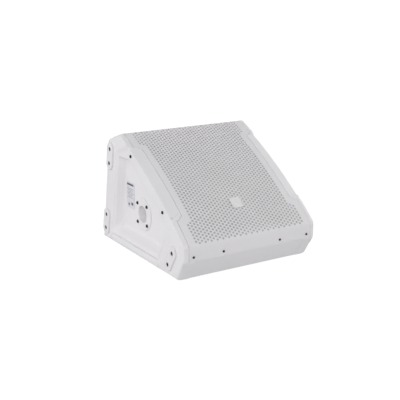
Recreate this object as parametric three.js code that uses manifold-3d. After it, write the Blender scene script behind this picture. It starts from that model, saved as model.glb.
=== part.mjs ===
// Powered coaxial floor monitor: a wedge-shaped loudspeaker whose curved grille faces up and forward.
// Millimetres. +X is to the right when facing the grille, +Y is to the rear, +Z is up.
// The origin is on the floor, under the middle of the object's box.
import * as THREE from 'three';
import Module from 'manifold-3d';
import { mergeVertices } from 'three/addons/utils/BufferGeometryUtils.js';

const wasm = await Module();
wasm.setup();

// ---- driving dimensions ----------------------------------------------------------------------------

const GAP = 0.3;                      // air between pieces that touch
const PANEL_OUTER = 160.5;            // outer face of a side panel, from the middle plane
const PANEL_INNER = 132.5;            // inner face of a side panel
const PANEL_THICK = PANEL_OUTER - PANEL_INNER;
const EDGE_WIDTH = 13;                // rounded edge of a side panel: across the panel
const EDGE_DROP = 4;                  // rounded edge of a side panel: down its outline

const PANEL_FLOOR = 1;                // lower edge of the side panels
const FRONT_BOTTOM = [-152, PANEL_FLOOR];
const REAR_BOTTOM = [182, PANEL_FLOOR];
const REAR_TOP = [142.5, 234.5];
const APEX = [87, 255];
const FOLD = [-180, 78.5];            // the sloping front meets the upright lip
const LIP_BOTTOM = [-180, 46];
const FRONT_RISE = 12;                // how far the sloping front bows out of its chord
const FRONT_PEAK = 0.56;              // where along the chord the bow's control point stands
const FRONT_STEPS = 22;

const CABINET_HALF = PANEL_INNER - GAP;
const CABINET_INSET = 2.2;            // cabinet faces lie this far inside the panels' outline
const CABINET_FLOOR = 4;
const WALL = 12;                      // top, bottom and rear boards
const SIDE_WALL = 9;
const BAFFLE_DEPTH = 14;              // front face of the baffle below the chord
const BAFFLE_THICK = 12;
const BAFFLE_MARGIN = 14;             // chord length kept above and below the baffle

const GRILLE_THICK = 1.5;
const GRILLE_WIDE = 148.6;            // half width at the top and at the bottom
const GRILLE_NARROW = 133.1;          // half width between the hand grips
const GRILLE_SIDE_GAP = 0.9;          // shadow line between the grille's sides and the panels
const GRILLE_NECK = [47, 58, 251, 262]; // chord lengths where the width changes and has changed
const GRILLE_RETURN = 12;             // flange folded down behind the apex
const FOAM_THICK = 3;

const GRIP_FOOT_OUTER = [52, 255];    // hand grip: ends of its floor at the panel's outer face,
const GRIP_FOOT_CREASE = [54, 246.5]; // at the crease between its facets,
const GRIP_FOOT_INNER = [58, 241];    // and at the grille
const GRIP_RAMP_OUTER = [6, 4];       // length of the ramps at its two ends
const GRIP_RAMP_INNER = [1, 1.5];
const GRIP_CREASE_ACROSS = 10;        // crease between its two facets, from the grille
const GRIP_CREASE_DEPTH = 1.5;        // below the front
const GRIP_OUTER_DEPTH = 5.6;         // below the front, just past the panel's outer face

const LEDGE_DEPTH = 3;                // shallow step inside the rim of a side panel
const POCKET_DEPTH = 20;              // floor of the pocket, below the panel's outer face
const RIM_OUTLINE = [[136.5, 20.5], [-74.7, 20.5], [-124.5, 98], [-141, 112], [-175, 135], [60, 262],
  [53.5, 236.5], [104, 217.5]];
const LEDGE_OUTLINE = [[133.5, 23], [-76, 23], [-120, 98], [-128, 116], [-165, 145], [40, 262],
  [46, 227], [101.5, 208]];
const POCKET_MOUTH = [[131.5, 24.5], [-76.5, 24.5], [-110, 103], [46, 206], [100.5, 206]];
const POCKET_FLOOR = [[122.5, 41], [-80, 41], [-96, 101], [43, 196], [97, 194]];

const POLE_CENTRE = [21.5, 91];
const POLE_BORE = 18;                 // takes a 35 mm pole
const POLE_DEPTH = 75;
const POLE_FLANGE = 36;
const POLE_FLANGE_RISE = 2.5;
const POLE_SCREW_HALF = 20.7;         // the four screws stand on a square

// Screws: radius and height of the head, radius and length of the shank.
const LIP_SCREW = [2.5, 1.4, 1.5, 9];
const LEDGE_SCREW = [3.5, 2, 2, 16];
const POLE_SCREW = [3.7, 2, 2, 7];

const PLATE_SIZE = [34, 58];           // blank rating plate on the pocket's floor
const PLATE_CENTRE = [78, 119.5];

const PAD_LENGTH = 62;
const PAD_WIDTH = 26;
const PAD_RISE = 3.5;
const PAD_PLACES = [                   // centre in Y and Z, lean from upright in radians
  { name: 'rear_top', y: 132, z: 198.5, lean: 0.165 },
  { name: 'rear_bottom', y: 159, z: 44, lean: 0.165 },
  { name: 'front', y: -129, z: 40.5, lean: 0.565 },
];

const BADGE_SIZE = 25;
const BADGE_ALONG = 242;

// ---- geometry helpers ------------------------------------------------------------------------------

/** A closed geometry as a solid that can be cut and joined. */
function solid(geometry) {
  const bare = geometry.clone();
  bare.deleteAttribute('normal');
  bare.deleteAttribute('uv');
  const merged = mergeVertices(bare, 1e-4);
  return new wasm.Manifold(new wasm.Mesh({
    numProp: 3,
    vertProperties: new Float32Array(merged.attributes.position.array),
    triVerts: new Uint32Array(merged.index.array),
  }));
}

/** A solid back as a geometry. */
function geometryOf(body) {
  const mesh = body.getMesh();
  const geometry = new THREE.BufferGeometry();
  geometry.setAttribute('position', new THREE.BufferAttribute(mesh.vertProperties.slice(), 3));
  geometry.setIndex(new THREE.BufferAttribute(mesh.triVerts.slice(), 1));
  return geometry;
}

/** The geometry less each of the cutters. */
function cut(geometry, ...cutters) {
  return geometryOf(cutters.reduce((body, cutter) => body.subtract(solid(cutter)), solid(geometry)));
}

/** The geometries joined into one. */
function join(geometry, ...others) {
  return geometryOf(others.reduce((body, other) => body.add(solid(other)), solid(geometry)));
}

/** The part of a geometry that lies inside another. */
function keep(geometry, other) {
  return geometryOf(solid(geometry).intersect(solid(other)));
}

function shapeOf(points) {
  return new THREE.Shape(points.map(([a, b]) => new THREE.Vector2(a, b)));
}

/** An outline in Y and Z, pushed along X from x0 to x1. */
function sideways(points, x0, x1) {
  const geometry = new THREE.ExtrudeGeometry(shapeOf(points), { depth: x1 - x0, bevelEnabled: false });
  return turnSideways(geometry, x0);
}

/** Turns a geometry made along Z so that its X, Y and Z become Y, Z and X. */
function turnSideways(geometry, x0) {
  return geometry.applyMatrix4(new THREE.Matrix4().set(0, 0, 1, x0, 1, 0, 0, 0, 0, 1, 0, 0, 0, 0, 0, 1));
}

/** The same piece on the other side of the middle plane. */
function mirrored(geometry) {
  const other = geometry.clone();
  other.deleteAttribute('normal');
  other.deleteAttribute('uv');
  const whole = mergeVertices(other, 1e-4).scale(-1, 1, 1);
  const index = whole.index.array;
  for (let i = 0; i < index.length; i += 3) [index[i], index[i + 1]] = [index[i + 1], index[i]];
  return whole;
}

/** A closed body through sections that have the same number of points, capped at both ends.
    plane says which two of a point's coordinates the caps are cut into triangles in. */
function loft(sections, plane = [1, 2]) {
  const count = sections[0].length;
  const index = [];
  for (let i = 0; i + 1 < sections.length; i++) {
    for (let j = 0; j < count; j++) {
      const a = i * count + j;
      const b = i * count + (j + 1) % count;
      index.push(a, b, a + count, b, b + count, a + count);
    }
  }
  const flat = sections[0].map((point) => new THREE.Vector2(point[plane[0]], point[plane[1]]));
  const same = (a, b, c) => (
    THREE.ShapeUtils.area([flat[a], flat[b], flat[c]]) > 0) === (THREE.ShapeUtils.area(flat) > 0);
  const last = (sections.length - 1) * count;
  for (const [a, b, c] of THREE.ShapeUtils.triangulateShape(flat, [])) {
    const [first, second] = same(a, b, c) ? [b, c] : [c, b];
    index.push(a, second, first, last + a, last + first, last + second);
  }
  const geometry = new THREE.BufferGeometry();
  geometry.setAttribute('position', new THREE.Float32BufferAttribute(sections.flat(2), 3));
  geometry.setIndex(index);
  return outward(geometry);
}

/** Turns a closed geometry's faces outwards, if its volume comes out negative. */
function outward(geometry) {
  const p = geometry.attributes.position;
  const index = geometry.index.array;
  const [a, b, c] = [new THREE.Vector3(), new THREE.Vector3(), new THREE.Vector3()];
  let volume = 0;
  for (let i = 0; i < index.length; i += 3) {
    a.fromBufferAttribute(p, index[i]);
    b.fromBufferAttribute(p, index[i + 1]);
    c.fromBufferAttribute(p, index[i + 2]);
    volume += a.dot(b.cross(c));
  }
  if (volume < 0) {
    for (let i = 0; i < index.length; i += 3) [index[i], index[i + 1]] = [index[i + 1], index[i]];
  }
  return geometry;
}

/** An outline moved inwards by a distance; its points run counter-clockwise. */
function inset(points, distance) {
  const corner = points.length;
  return points.map((point, i) => {
    const before = points[(i + corner - 1) % corner];
    const after = points[(i + 1) % corner];
    const one = new THREE.Vector2(point[0] - before[0], point[1] - before[1]).normalize();
    const two = new THREE.Vector2(after[0] - point[0], after[1] - point[1]).normalize();
    const scale = distance / (1 + one.dot(two));
    return [point[0] - (one.y + two.y) * scale, point[1] + (one.x + two.x) * scale];
  });
}

/** A round body about Z from [radius, z] points, first and last on the axis or closed on itself. */
function turned(points, segments = 32, closed = false) {
  const profile = points.map(([r, z]) => new THREE.Vector2(r, z));
  if (closed) profile.push(profile[0].clone());
  const geometry = new THREE.LatheGeometry(profile, segments).rotateX(Math.PI / 2);
  const merged = geometry.clone();
  merged.deleteAttribute('normal');
  merged.deleteAttribute('uv');
  return outward(dropSlivers(mergeVertices(merged, 1e-4)));
}

/** Removes the triangles that shrank to a line on a turned body's axis. */
function dropSlivers(geometry) {
  const index = geometry.index.array;
  const kept = [];
  for (let i = 0; i < index.length; i += 3) {
    const [a, b, c] = [index[i], index[i + 1], index[i + 2]];
    if (a !== b && b !== c && a !== c) kept.push(a, b, c);
  }
  geometry.setIndex(kept);
  return geometry;
}

function box(w, d, h, x = 0, y = 0, z = 0) {
  return new THREE.BoxGeometry(w, d, h).translate(x, y, z);
}

/** A cylinder along Z from z0 to z1. */
function rod(radius, z0, z1, x = 0, y = 0, segments = 20) {
  const geometry = new THREE.CylinderGeometry(radius, radius, z1 - z0, segments).rotateX(Math.PI / 2);
  return geometry.translate(x, y, (z0 + z1) / 2);
}

/** A rectangle with round corners, as outline points. */
function roundedRectangle(w, h, r, steps = 3) {
  const points = [];
  for (const [cx, cy, start] of [[1, 1, 0], [-1, 1, 1], [-1, -1, 2], [1, -1, 3]]) {
    for (let i = 0; i <= steps; i++) {
      const angle = (start + i / steps) * Math.PI / 2;
      points.push([cx * (w / 2 - r) + r * Math.cos(angle), cy * (h / 2 - r) + r * Math.sin(angle)]);
    }
  }
  return points;
}

/** A flat plate of an outline in X and Y, from z0 to z1. */
function plate(points, z0, z1) {
  const geometry = new THREE.ExtrudeGeometry(shapeOf(points), { depth: z1 - z0, bevelEnabled: false });
  return geometry.translate(0, 0, z0);
}

// ---- the wedge's outline ---------------------------------------------------------------------------

const chord = new THREE.Vector2(FOLD[0] - APEX[0], FOLD[1] - APEX[1]);
const CHORD_LENGTH = chord.length();
chord.normalize();
const normal = new THREE.Vector2(chord.y, -chord.x);      // out of the sloping front
const SLOPE = Math.atan2(-chord.y, -chord.x);             // its angle to the floor

/** The point at a length along the chord from the apex, and a height out of it. */
function onChord(along, height) {
  return [APEX[0] + chord.x * along + normal.x * height, APEX[1] + chord.y * along + normal.y * height];
}

const frontCurve = new THREE.QuadraticBezierCurve(
  new THREE.Vector2(0, 0),
  new THREE.Vector2(FRONT_PEAK * CHORD_LENGTH, 2 * FRONT_RISE),
  new THREE.Vector2(CHORD_LENGTH, 0),
);

/** How far the sloping front stands out of the chord at a length along it. */
function rise(along) {
  let low = 0;
  let high = 1;
  for (let i = 0; i < 40; i++) {
    const middle = (low + high) / 2;
    if (frontCurve.getPoint(middle).x < along) low = middle;
    else high = middle;
  }
  return frontCurve.getPoint(low).y;
}

/** The sloping front from apex to fold as points, moved inwards by a depth. */
function frontPoints(depth, from = 0, to = CHORD_LENGTH) {
  const points = [];
  for (let i = 0; i <= FRONT_STEPS; i++) {
    const along = from + (to - from) * i / FRONT_STEPS;
    points.push(onChord(along, rise(along) - depth));
  }
  return points;
}

/** The point at a length down the rear slope from the apex, moved inwards by a depth. */
function behindApex(length, depth) {
  const down = new THREE.Vector2(REAR_TOP[0] - APEX[0], REAR_TOP[1] - APEX[1]).normalize();
  return [APEX[0] + down.x * length + down.y * depth, APEX[1] + down.y * length - down.x * depth];
}

const OUTLINE = [FRONT_BOTTOM, REAR_BOTTOM, REAR_TOP, ...frontPoints(0), LIP_BOTTOM];
const STRAIGHT_OUTLINE = [[FRONT_BOTTOM[0], CABINET_FLOOR - CABINET_INSET],
  [REAR_BOTTOM[0], CABINET_FLOOR - CABINET_INSET], REAR_TOP, APEX, FOLD, LIP_BOTTOM];

// ---- side panels -----------------------------------------------------------------------------------

/** A plain panel with its outer edge rounded all the way round; local X runs from the inner face. */
function panelBlank() {
  const spare = 25;
  const geometry = new THREE.ExtrudeGeometry(shapeOf(OUTLINE), {
    depth: spare + PANEL_THICK - EDGE_WIDTH,
    bevelThickness: EDGE_WIDTH,
    bevelSize: EDGE_DROP,
    bevelOffset: -EDGE_DROP,
    bevelSegments: 3,
  });
  turnSideways(geometry, -spare);
  return keep(geometry, box(PANEL_THICK, 500, 400, PANEL_THICK / 2, 0, 150));
}

/** The step that the grille's border lies in. */
function grilleRebate() {
  const depth = GRILLE_THICK + GAP;
  const band = [
    behindApex(GRILLE_RETURN + GAP, -5), ...frontPoints(-5), [FOLD[0] - 6, LIP_BOTTOM[1] - 6],
    [FOLD[0] + depth, LIP_BOTTOM[1] - 6], ...frontPoints(depth).reverse(),
    behindApex(GRILLE_RETURN + GAP, depth),
  ];
  const slab = sideways(band, -1, GRILLE_WIDE + GRILLE_SIDE_GAP - PANEL_INNER);
  const edge = GRILLE_NARROW + GRILLE_SIDE_GAP - PANEL_INNER;
  const far = GRILLE_WIDE + 2 - PANEL_INNER;
  const lean = (far - edge) * (GRILLE_NECK[1] - GRILLE_NECK[0]) / (GRILLE_WIDE - GRILLE_NARROW);
  const between = [
    [edge, GRILLE_NECK[1] + GAP], [far, GRILLE_NECK[1] + GAP - lean],
    [far, GRILLE_NECK[2] - GAP + lean], [edge, GRILLE_NECK[2] - GAP],
  ];
  const sections = [-30, 30].map((height) => between.map(([x, along]) => [x, ...onChord(along, height)]));
  return cut(slab, loft(sections, [0, 1]));
}

/** The hand grip's hollow: two long facets between ramped ends. */
function gripCutter() {
  const start = GRILLE_NARROW + GRILLE_SIDE_GAP - PANEL_INNER;
  const beyond = PANEL_THICK + 2;
  const above = 16;
  const rampHeight = 6;
  const steps = 12;
  const middle = start + GRIP_CREASE_ACROSS;
  const reach = PANEL_THICK - start;
  const foot = (side, x) => (x < middle
    ? THREE.MathUtils.mapLinear(x, start, middle, GRIP_FOOT_INNER[side], GRIP_FOOT_CREASE[side])
    : THREE.MathUtils.mapLinear(x, middle, PANEL_THICK, GRIP_FOOT_CREASE[side], GRIP_FOOT_OUTER[side]));
  const sections = [];
  for (let i = 0; i <= steps; i++) {
    const at = (x) => THREE.MathUtils.lerp(foot(0, x), foot(1, x), i / steps);
    const ramp = (x) => {
      const share = (x - start) / reach;
      const side = i === 0 ? 0 : 1;
      const length = GRIP_RAMP_INNER[side] + (GRIP_RAMP_OUTER[side] - GRIP_RAMP_INNER[side]) * share;
      if (i !== 0 && i !== steps) return 0;
      return (side === 0 ? -length : length) * above / rampHeight;
    };
    const point = (x, height) => [x, ...onChord(at(x), height)];
    const high = (x) => [x, ...onChord(at(x) + ramp(x), above)];
    sections.push([
      point(start, rise(at(start)) - 0.1),
      point(middle, rise(at(middle)) - GRIP_CREASE_DEPTH),
      point(beyond, rise(at(beyond)) - GRIP_OUTER_DEPTH),
      high(beyond),
      high(start),
    ]);
  }
  return loft(sections, [0, 2]);
}

/** The shallow step inside the rim, open at the front where the hand grip is. */
function ledgeCutter() {
  const inner = LEDGE_OUTLINE.map(([y, z]) => [PANEL_THICK - LEDGE_DEPTH, y, z]);
  const outer = RIM_OUTLINE.map(([y, z]) => [PANEL_THICK, y, z]);
  const beyond = RIM_OUTLINE.map(([y, z]) => [PANEL_THICK + 5, y, z]);
  return loft([inner, outer, beyond]);
}

/** The deep pocket inside the ledge. */
function pocketCutter() {
  const floor = POCKET_FLOOR.map(([y, z]) => [PANEL_THICK - POCKET_DEPTH, y, z]);
  const mouth = POCKET_MOUTH.map(([y, z]) => [PANEL_THICK - LEDGE_DEPTH, y, z]);
  const beyond = POCKET_MOUTH.map(([y, z]) => [PANEL_THICK + 5, y, z]);
  return loft([floor, mouth, beyond]);
}

/** The empty space behind the rim, open towards the cabinet. */
function rimHollow() {
  const skin = 5;
  const inside = sideways(inset(OUTLINE, skin + EDGE_DROP / 2), -1, PANEL_THICK - skin - 2);
  const around = sideways(inset(RIM_OUTLINE.slice().reverse(), -skin).reverse(), -2, PANEL_THICK);
  return cut(inside, around);
}

function sidePanel(poleSocket) {
  const cutters = [grilleRebate(), gripCutter(), ledgeCutter(), pocketCutter(), rimHollow()];
  for (const [y, z] of panelScrewPlaces()) {
    cutters.push(rod(2.3, 0, PANEL_THICK + 1, 0, 0, 12).rotateY(Math.PI / 2).translate(0, y, z));
  }
  if (poleSocket) {
    const bore = rod(20.8, -1, PANEL_THICK, 0, 0, 32).rotateY(Math.PI / 2);
    cutters.push(bore.translate(0, POLE_CENTRE[0], POLE_CENTRE[1]));
    for (const [y, z] of poleScrewPlaces()) {
      cutters.push(rod(2.3, -1, PANEL_THICK, 0, 0, 12).rotateY(Math.PI / 2).translate(0, y, z));
    }
  }
  const placed = cut(panelBlank(), ...cutters).translate(PANEL_INNER, 0, 0);
  return cut(placed, ...grilleScrewHoles());
}

function panelScrewPlaces() {
  return [onChord(61, -8.5), onChord(221, -8.5)];
}

function poleScrewPlaces() {
  const places = [];
  for (const y of [-1, 1]) {
    for (const z of [-1, 1]) {
      places.push([POLE_CENTRE[0] + y * POLE_SCREW_HALF, POLE_CENTRE[1] + z * POLE_SCREW_HALF]);
    }
  }
  return places;
}

// ---- cabinet, baffle and grille --------------------------------------------------------------------

/** Where the baffle's front face is centred: the speaker's own frame starts here. */
const FRONT_CENTRE = onChord(CHORD_LENGTH / 2, -BAFFLE_DEPTH);

/** The amplifier tray's frame: middle of the cabinet's rear face. */
const REAR_LEAN = Math.atan2(REAR_BOTTOM[0] - REAR_TOP[0], REAR_TOP[1] - REAR_BOTTOM[1]);
const REAR_CENTRE = (() => {
  const share = 0.44;
  const y = REAR_BOTTOM[0] + (REAR_TOP[0] - REAR_BOTTOM[0]) * share;
  const z = REAR_BOTTOM[1] + (REAR_TOP[1] - REAR_BOTTOM[1]) * share;
  return [y - CABINET_INSET * Math.cos(REAR_LEAN), z - CABINET_INSET * Math.sin(REAR_LEAN)];
})();

const TRAY_WIDTH = 184;
const TRAY_HEIGHT = 120;
const TRAY_DEPTH = 18;
const TRAY_SHEET = 2;
const TRAY_FLANGE = 9;

function cabinetShell() {
  const outer = inset(STRAIGHT_OUTLINE, CABINET_INSET);
  const inner = inset(STRAIGHT_OUTLINE, CABINET_INSET + WALL);
  const half = CABINET_HALF - SIDE_WALL;
  const seat = BAFFLE_DEPTH + BAFFLE_THICK + GAP;
  const pocket = [
    onChord(BAFFLE_MARGIN, 20), onChord(BAFFLE_MARGIN, -seat),
    onChord(CHORD_LENGTH - BAFFLE_MARGIN, -seat), onChord(CHORD_LENGTH - BAFFLE_MARGIN, 20),
  ];
  const inside = keep(sideways(inner, -half, half), box(2 * half, 400, 400, 0, 0, 150));
  const amplifier = box(TRAY_WIDTH + 1, TRAY_HEIGHT + 1, 60).rotateX(-Math.PI / 2 + REAR_LEAN);
  amplifier.translate(0, REAR_CENTRE[0], REAR_CENTRE[1]);
  const flange = box(TRAY_WIDTH + 2 * TRAY_FLANGE + 1, TRAY_HEIGHT + 2 * TRAY_FLANGE + 1, 5);
  flange.rotateX(-Math.PI / 2 + REAR_LEAN).translate(0, REAR_CENTRE[0], REAR_CENTRE[1]);
  const bore = rod(21.2, CABINET_HALF - 30, CABINET_HALF + 1, 0, 0, 32).rotateY(-Math.PI / 2);
  bore.translate(0, POLE_CENTRE[0], POLE_CENTRE[1]);
  return cut(sideways(outer, -CABINET_HALF, CABINET_HALF), inside,
    sideways(pocket, -half, half), amplifier, flange, bore, ...grilleScrewHoles());
}

function baffleBoard() {
  const w = 2 * (CABINET_HALF - SIDE_WALL - GAP);
  const h = CHORD_LENGTH - 2 * (BAFFLE_MARGIN + GAP);
  const cutters = [rod(91, -50, 50, 0, 0, 48)];
  for (const side of [-1, 1]) cutters.push(rod(PORT_OUTER + GAP, -50, 50, side * PORT_X, PORT_Y, 24));
  return cut(box(w, h, BAFFLE_THICK, 0, 0, -BAFFLE_THICK / 2), ...cutters);
}

/** The grille's outline seen square on, as half width against length along the chord. */
function grillePlan() {
  const n = GRILLE_NECK;
  return [
    [GRILLE_WIDE, -30], [GRILLE_WIDE, n[0]], [GRILLE_NARROW, n[1]], [GRILLE_NARROW, n[2]],
    [GRILLE_WIDE, n[3]], [GRILLE_WIDE, CHORD_LENGTH + 60],
    [-GRILLE_WIDE, CHORD_LENGTH + 60], [-GRILLE_WIDE, n[3]], [-GRILLE_NARROW, n[2]],
    [-GRILLE_NARROW, n[1]], [-GRILLE_WIDE, n[0]], [-GRILLE_WIDE, -30],
  ];
}

function frontGrille() {
  const under = LIP_BOTTOM[1] + 1;
  const sheet = [
    behindApex(GRILLE_RETURN, 0), ...frontPoints(0), [FOLD[0], under],
    [FOLD[0] + GRILLE_THICK, under], ...frontPoints(GRILLE_THICK).reverse(),
    behindApex(GRILLE_RETURN, GRILLE_THICK),
  ];
  const prism = squareToChord(grillePlan(), -70, 60);
  return cut(keep(sideways(sheet, -GRILLE_WIDE - 1, GRILLE_WIDE + 1), prism), ...grilleScrewHoles());
}

/** A prism square to the chord from an outline in X and length along the chord. */
function squareToChord(plan, low, high) {
  const geometry = new THREE.ExtrudeGeometry(shapeOf(plan), { depth: high - low, bevelEnabled: false });
  const matrix = new THREE.Matrix4().set(
    1, 0, 0, 0,
    0, chord.x, normal.x, APEX[0] + normal.x * low,
    0, chord.y, normal.y, APEX[1] + normal.y * low,
    0, 0, 0, 1);
  geometry.applyMatrix4(matrix);
  return outward(mergeVertices(stripped(geometry), 1e-4));
}

function stripped(geometry) {
  geometry.deleteAttribute('normal');
  geometry.deleteAttribute('uv');
  return geometry;
}

function grilleFoam() {
  const top = GRILLE_THICK + GAP;
  const from = BAFFLE_MARGIN + 4;
  const to = CHORD_LENGTH - BAFFLE_MARGIN - 4;
  const sheet = [...frontPoints(top, from, to), ...frontPoints(top + FOAM_THICK, from, to).reverse()];
  const half = CABINET_HALF - SIDE_WALL - 1;
  return sideways(sheet, -half, half);
}

function badge() {
  const flat = plate(roundedRectangle(BADGE_SIZE, BADGE_SIZE + 2, 5, 4), 0, 2.5);
  const lean = SLOPE + Math.atan2(rise(BADGE_ALONG - 5) - rise(BADGE_ALONG + 5), 10);
  const [y, z] = onChord(BADGE_ALONG, rise(BADGE_ALONG) + 0.5);
  return flat.rotateX(lean).translate(0, y, z);
}

function grilleScrewPlaces() {
  return [-138.5, -69.2, 69.2, 138.5].map((x) => [x, FOLD[0], 54.6]);
}

function grilleScrewHoles() {
  return grilleScrewPlaces().map(([x, y, z]) => (
    rod(2, -14, 14, 0, 0, 10).rotateX(Math.PI / 2).translate(x, y, z)));
}

// ---- small repeated pieces -------------------------------------------------------------------------

/** A screw along Z: its shank hangs down from z = 0 and its head, with a drive recess, stands above. */
function screw(headRadius, headHeight, shankRadius, shankLength) {
  return turned([
    [0, -shankLength], [shankRadius, -shankLength], [shankRadius, 0], [headRadius, 0],
    [headRadius, headHeight * 0.5], [headRadius * 0.8, headHeight], [headRadius * 0.45, headHeight],
    [headRadius * 0.45, headHeight - 1], [0, headHeight - 1],
  ], 10);
}

/** A standing pad on a side panel: a stadium with a bevelled edge. */
function sidePad({ y, z, lean }) {
  const half = (PAD_LENGTH - PAD_WIDTH) / 2;
  const outline = [];
  for (let end = 0; end < 2; end++) {
    for (let i = 0; i <= 6; i++) {
      const angle = (end + i / 6) * Math.PI;
      const centre = end === 0 ? half : -half;
      outline.push([PAD_WIDTH / 2 * Math.cos(angle), centre + PAD_WIDTH / 2 * Math.sin(angle)]);
    }
  }
  const bevel = 1;
  const pad = new THREE.ExtrudeGeometry(shapeOf(outline), {
    depth: PAD_RISE - GAP - bevel, bevelThickness: bevel, bevelSize: bevel, bevelOffset: -bevel,
    bevelSegments: 1,
  });
  pad.rotateZ(lean);
  turnSideways(pad, 0).translate(0, y, z);
  const [low, high] = [GAP, PAD_RISE];
  return keep(pad, box(high - low, 500, 500, (high - low) / 2, 0, 150)).translate(PANEL_OUTER + low, 0, 0);
}

function rubberFoot() {
  return turned([[0, 0], [9, 0], [10, 1], [10, CABINET_FLOOR - GAP], [0, CABINET_FLOOR - GAP]], 20);
}

function poleSocket() {
  const cup = turned([
    [0, -POLE_DEPTH], [20.5, -POLE_DEPTH], [20.5, 0], [POLE_FLANGE, 0], [POLE_FLANGE, POLE_FLANGE_RISE - 1],
    [POLE_FLANGE - 1, POLE_FLANGE_RISE], [POLE_BORE + 1, POLE_FLANGE_RISE], [POLE_BORE, POLE_FLANGE_RISE - 1],
    [POLE_BORE, -POLE_DEPTH + 2.5], [0, -POLE_DEPTH + 2.5],
  ], 36);
  const holes = [];
  for (const x of [-1, 1]) {
    for (const y of [-1, 1]) holes.push(rod(2.3, -2, 4, x * POLE_SCREW_HALF, y * POLE_SCREW_HALF, 12));
  }
  return cut(cup, ...holes);
}

// ---- coaxial speaker: local Z comes out of the baffle ----------------------------------------------

const BASKET_OUTER = 105;
const CONE_NECK_Z = -37.7;
const CONE_EDGE = [75, 4];
const COIL_RADIUS = [19.9, 20.8];
const MAGNET_TOP = -58.8;
const MAGNET_BACK = -84;
const THROAT = 12.7;

function wooferBasket() {
  const frame = turned([
    [BASKET_OUTER, GAP], [BASKET_OUTER, 4.3], [84, 4.3], [81.5, -6], [61.5, -40], [47.5, -40],
    [47.5, -56], [30, -56], [30, -58.5], [50, -58.5], [50, -42.5], [64, -42.5], [84.5, -7], [89.5, GAP],
  ], 36, true);
  const windows = [];
  for (let i = 0; i < 3; i++) windows.push(box(220, 36, 22, 0, 0, -24).rotateZ((i + 0.5) * Math.PI / 3));
  const core = turned([[0, -70], [58, -70], [58, -10], [0, -10]], 24);
  const bars = windows.map((bar) => cut(bar, core));
  return cut(frame, ...bars);
}

function wooferMagnet() {
  return turned([
    [THROAT + 1, MAGNET_BACK], [55, MAGNET_BACK], [55, MAGNET_TOP], [21.7, MAGNET_TOP], [21.7, -80],
    [19, -80], [19, -57], [THROAT + 1, -57],
  ], 36, true);
}

function voiceCoil() {
  const [inner, outer] = COIL_RADIUS;
  const top = CONE_NECK_Z - GAP;
  return turned([[inner, -74], [outer, -74], [outer, top], [inner, top]], 32, true);
}

function wooferCone() {
  const [edge, height] = CONE_EDGE;
  return turned([
    [19.7, CONE_NECK_Z], [21.2, CONE_NECK_Z], [50, -18], [edge, height - 1.4], [edge, height],
    [edge - 1.2, height], [49, -16.4],
  ], 32, true);
}

function wooferSurround() {
  const centre = 81.5;
  const foot = 4.6;
  const points = [[75.3, 3.2]];
  for (let i = 0; i <= 4; i++) {
    const angle = Math.PI * (1 - i / 4);
    points.push([centre + 6 * Math.cos(angle), foot + 6 * Math.sin(angle) + (i === 4 ? 1.2 : 0)]);
  }
  points.push([95, 5.8], [95, foot]);
  for (let i = 0; i <= 4; i++) {
    const angle = Math.PI * i / 4;
    points.push([centre + 4.8 * Math.cos(angle), foot + 4.8 * Math.sin(angle)]);
  }
  points.push([76.5, 3.2]);
  return turned(points, 32, true);
}

function wooferSpider() {
  const top = [];
  const bottom = [];
  const waves = 8;
  for (let i = 0; i <= waves; i++) {
    const radius = 21.2 + (57 - 21.2) * i / waves;
    const lift = i === 0 || i >= waves - 2 ? 0 : (i % 2 ? 0.9 : -0.9);
    top.push([radius, -38.7 + lift]);
    bottom.push([radius, -39.6 + lift]);
  }
  return turned([...bottom, ...top.reverse()], 28, true);
}

function wooferGasket() {
  return turned([[95.3, 4.6], [104.7, 4.6], [104.7, 8.6], [90, 8.6], [90, 6.1], [95.3, 6.1]], 40, true);
}

function coaxialHorn() {
  return turned([
    [THROAT, -56.7], [17, -56.7], [17, -30], [20, -26], [30, -12], [43, 0], [43, 2], [40.5, 2],
    [28, -11.5], [17.5, -26], [THROAT, -38],
  ], 32, true);
}

function compressionDriver() {
  const back = MAGNET_BACK - GAP;
  return turned([
    [0, -112], [34, -112], [40, -106], [40, -90], [36, back], [THROAT, back], [THROAT, -91], [0, -91],
  ], 32);
}

const PORT_OUTER = 25;
const PORT_X = 92;
const PORT_Y = -114;

function portTube() {
  return turned([
    [PORT_OUTER, -60], [PORT_OUTER, GAP], [30, GAP], [30, 1.5], [27, 3], [24.5, 1.5], [22.5, -4],
    [22.5, -60],
  ], 28, true);
}

// ---- rear tray and what is on it: local Z comes out of the rear ------------------------------------

const FLOOR = -TRAY_DEPTH + TRAY_SHEET;            // outer face of the tray's floor
const KNOB_PLACES = [[12, 32], [40, 32], [68, 32]];
const BUTTON_PLACE = [68, 6];
const LIGHT_PLACE = [46, 6];
const INPUT_PLACE = [-66, 30];
const LINK_PLACE = [-28, 30];
const INLET_PLACE = [-58, -30];
const ROCKER_PLACE = [-14, -30];
const FINS_PLACE = [44, -34];

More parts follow.
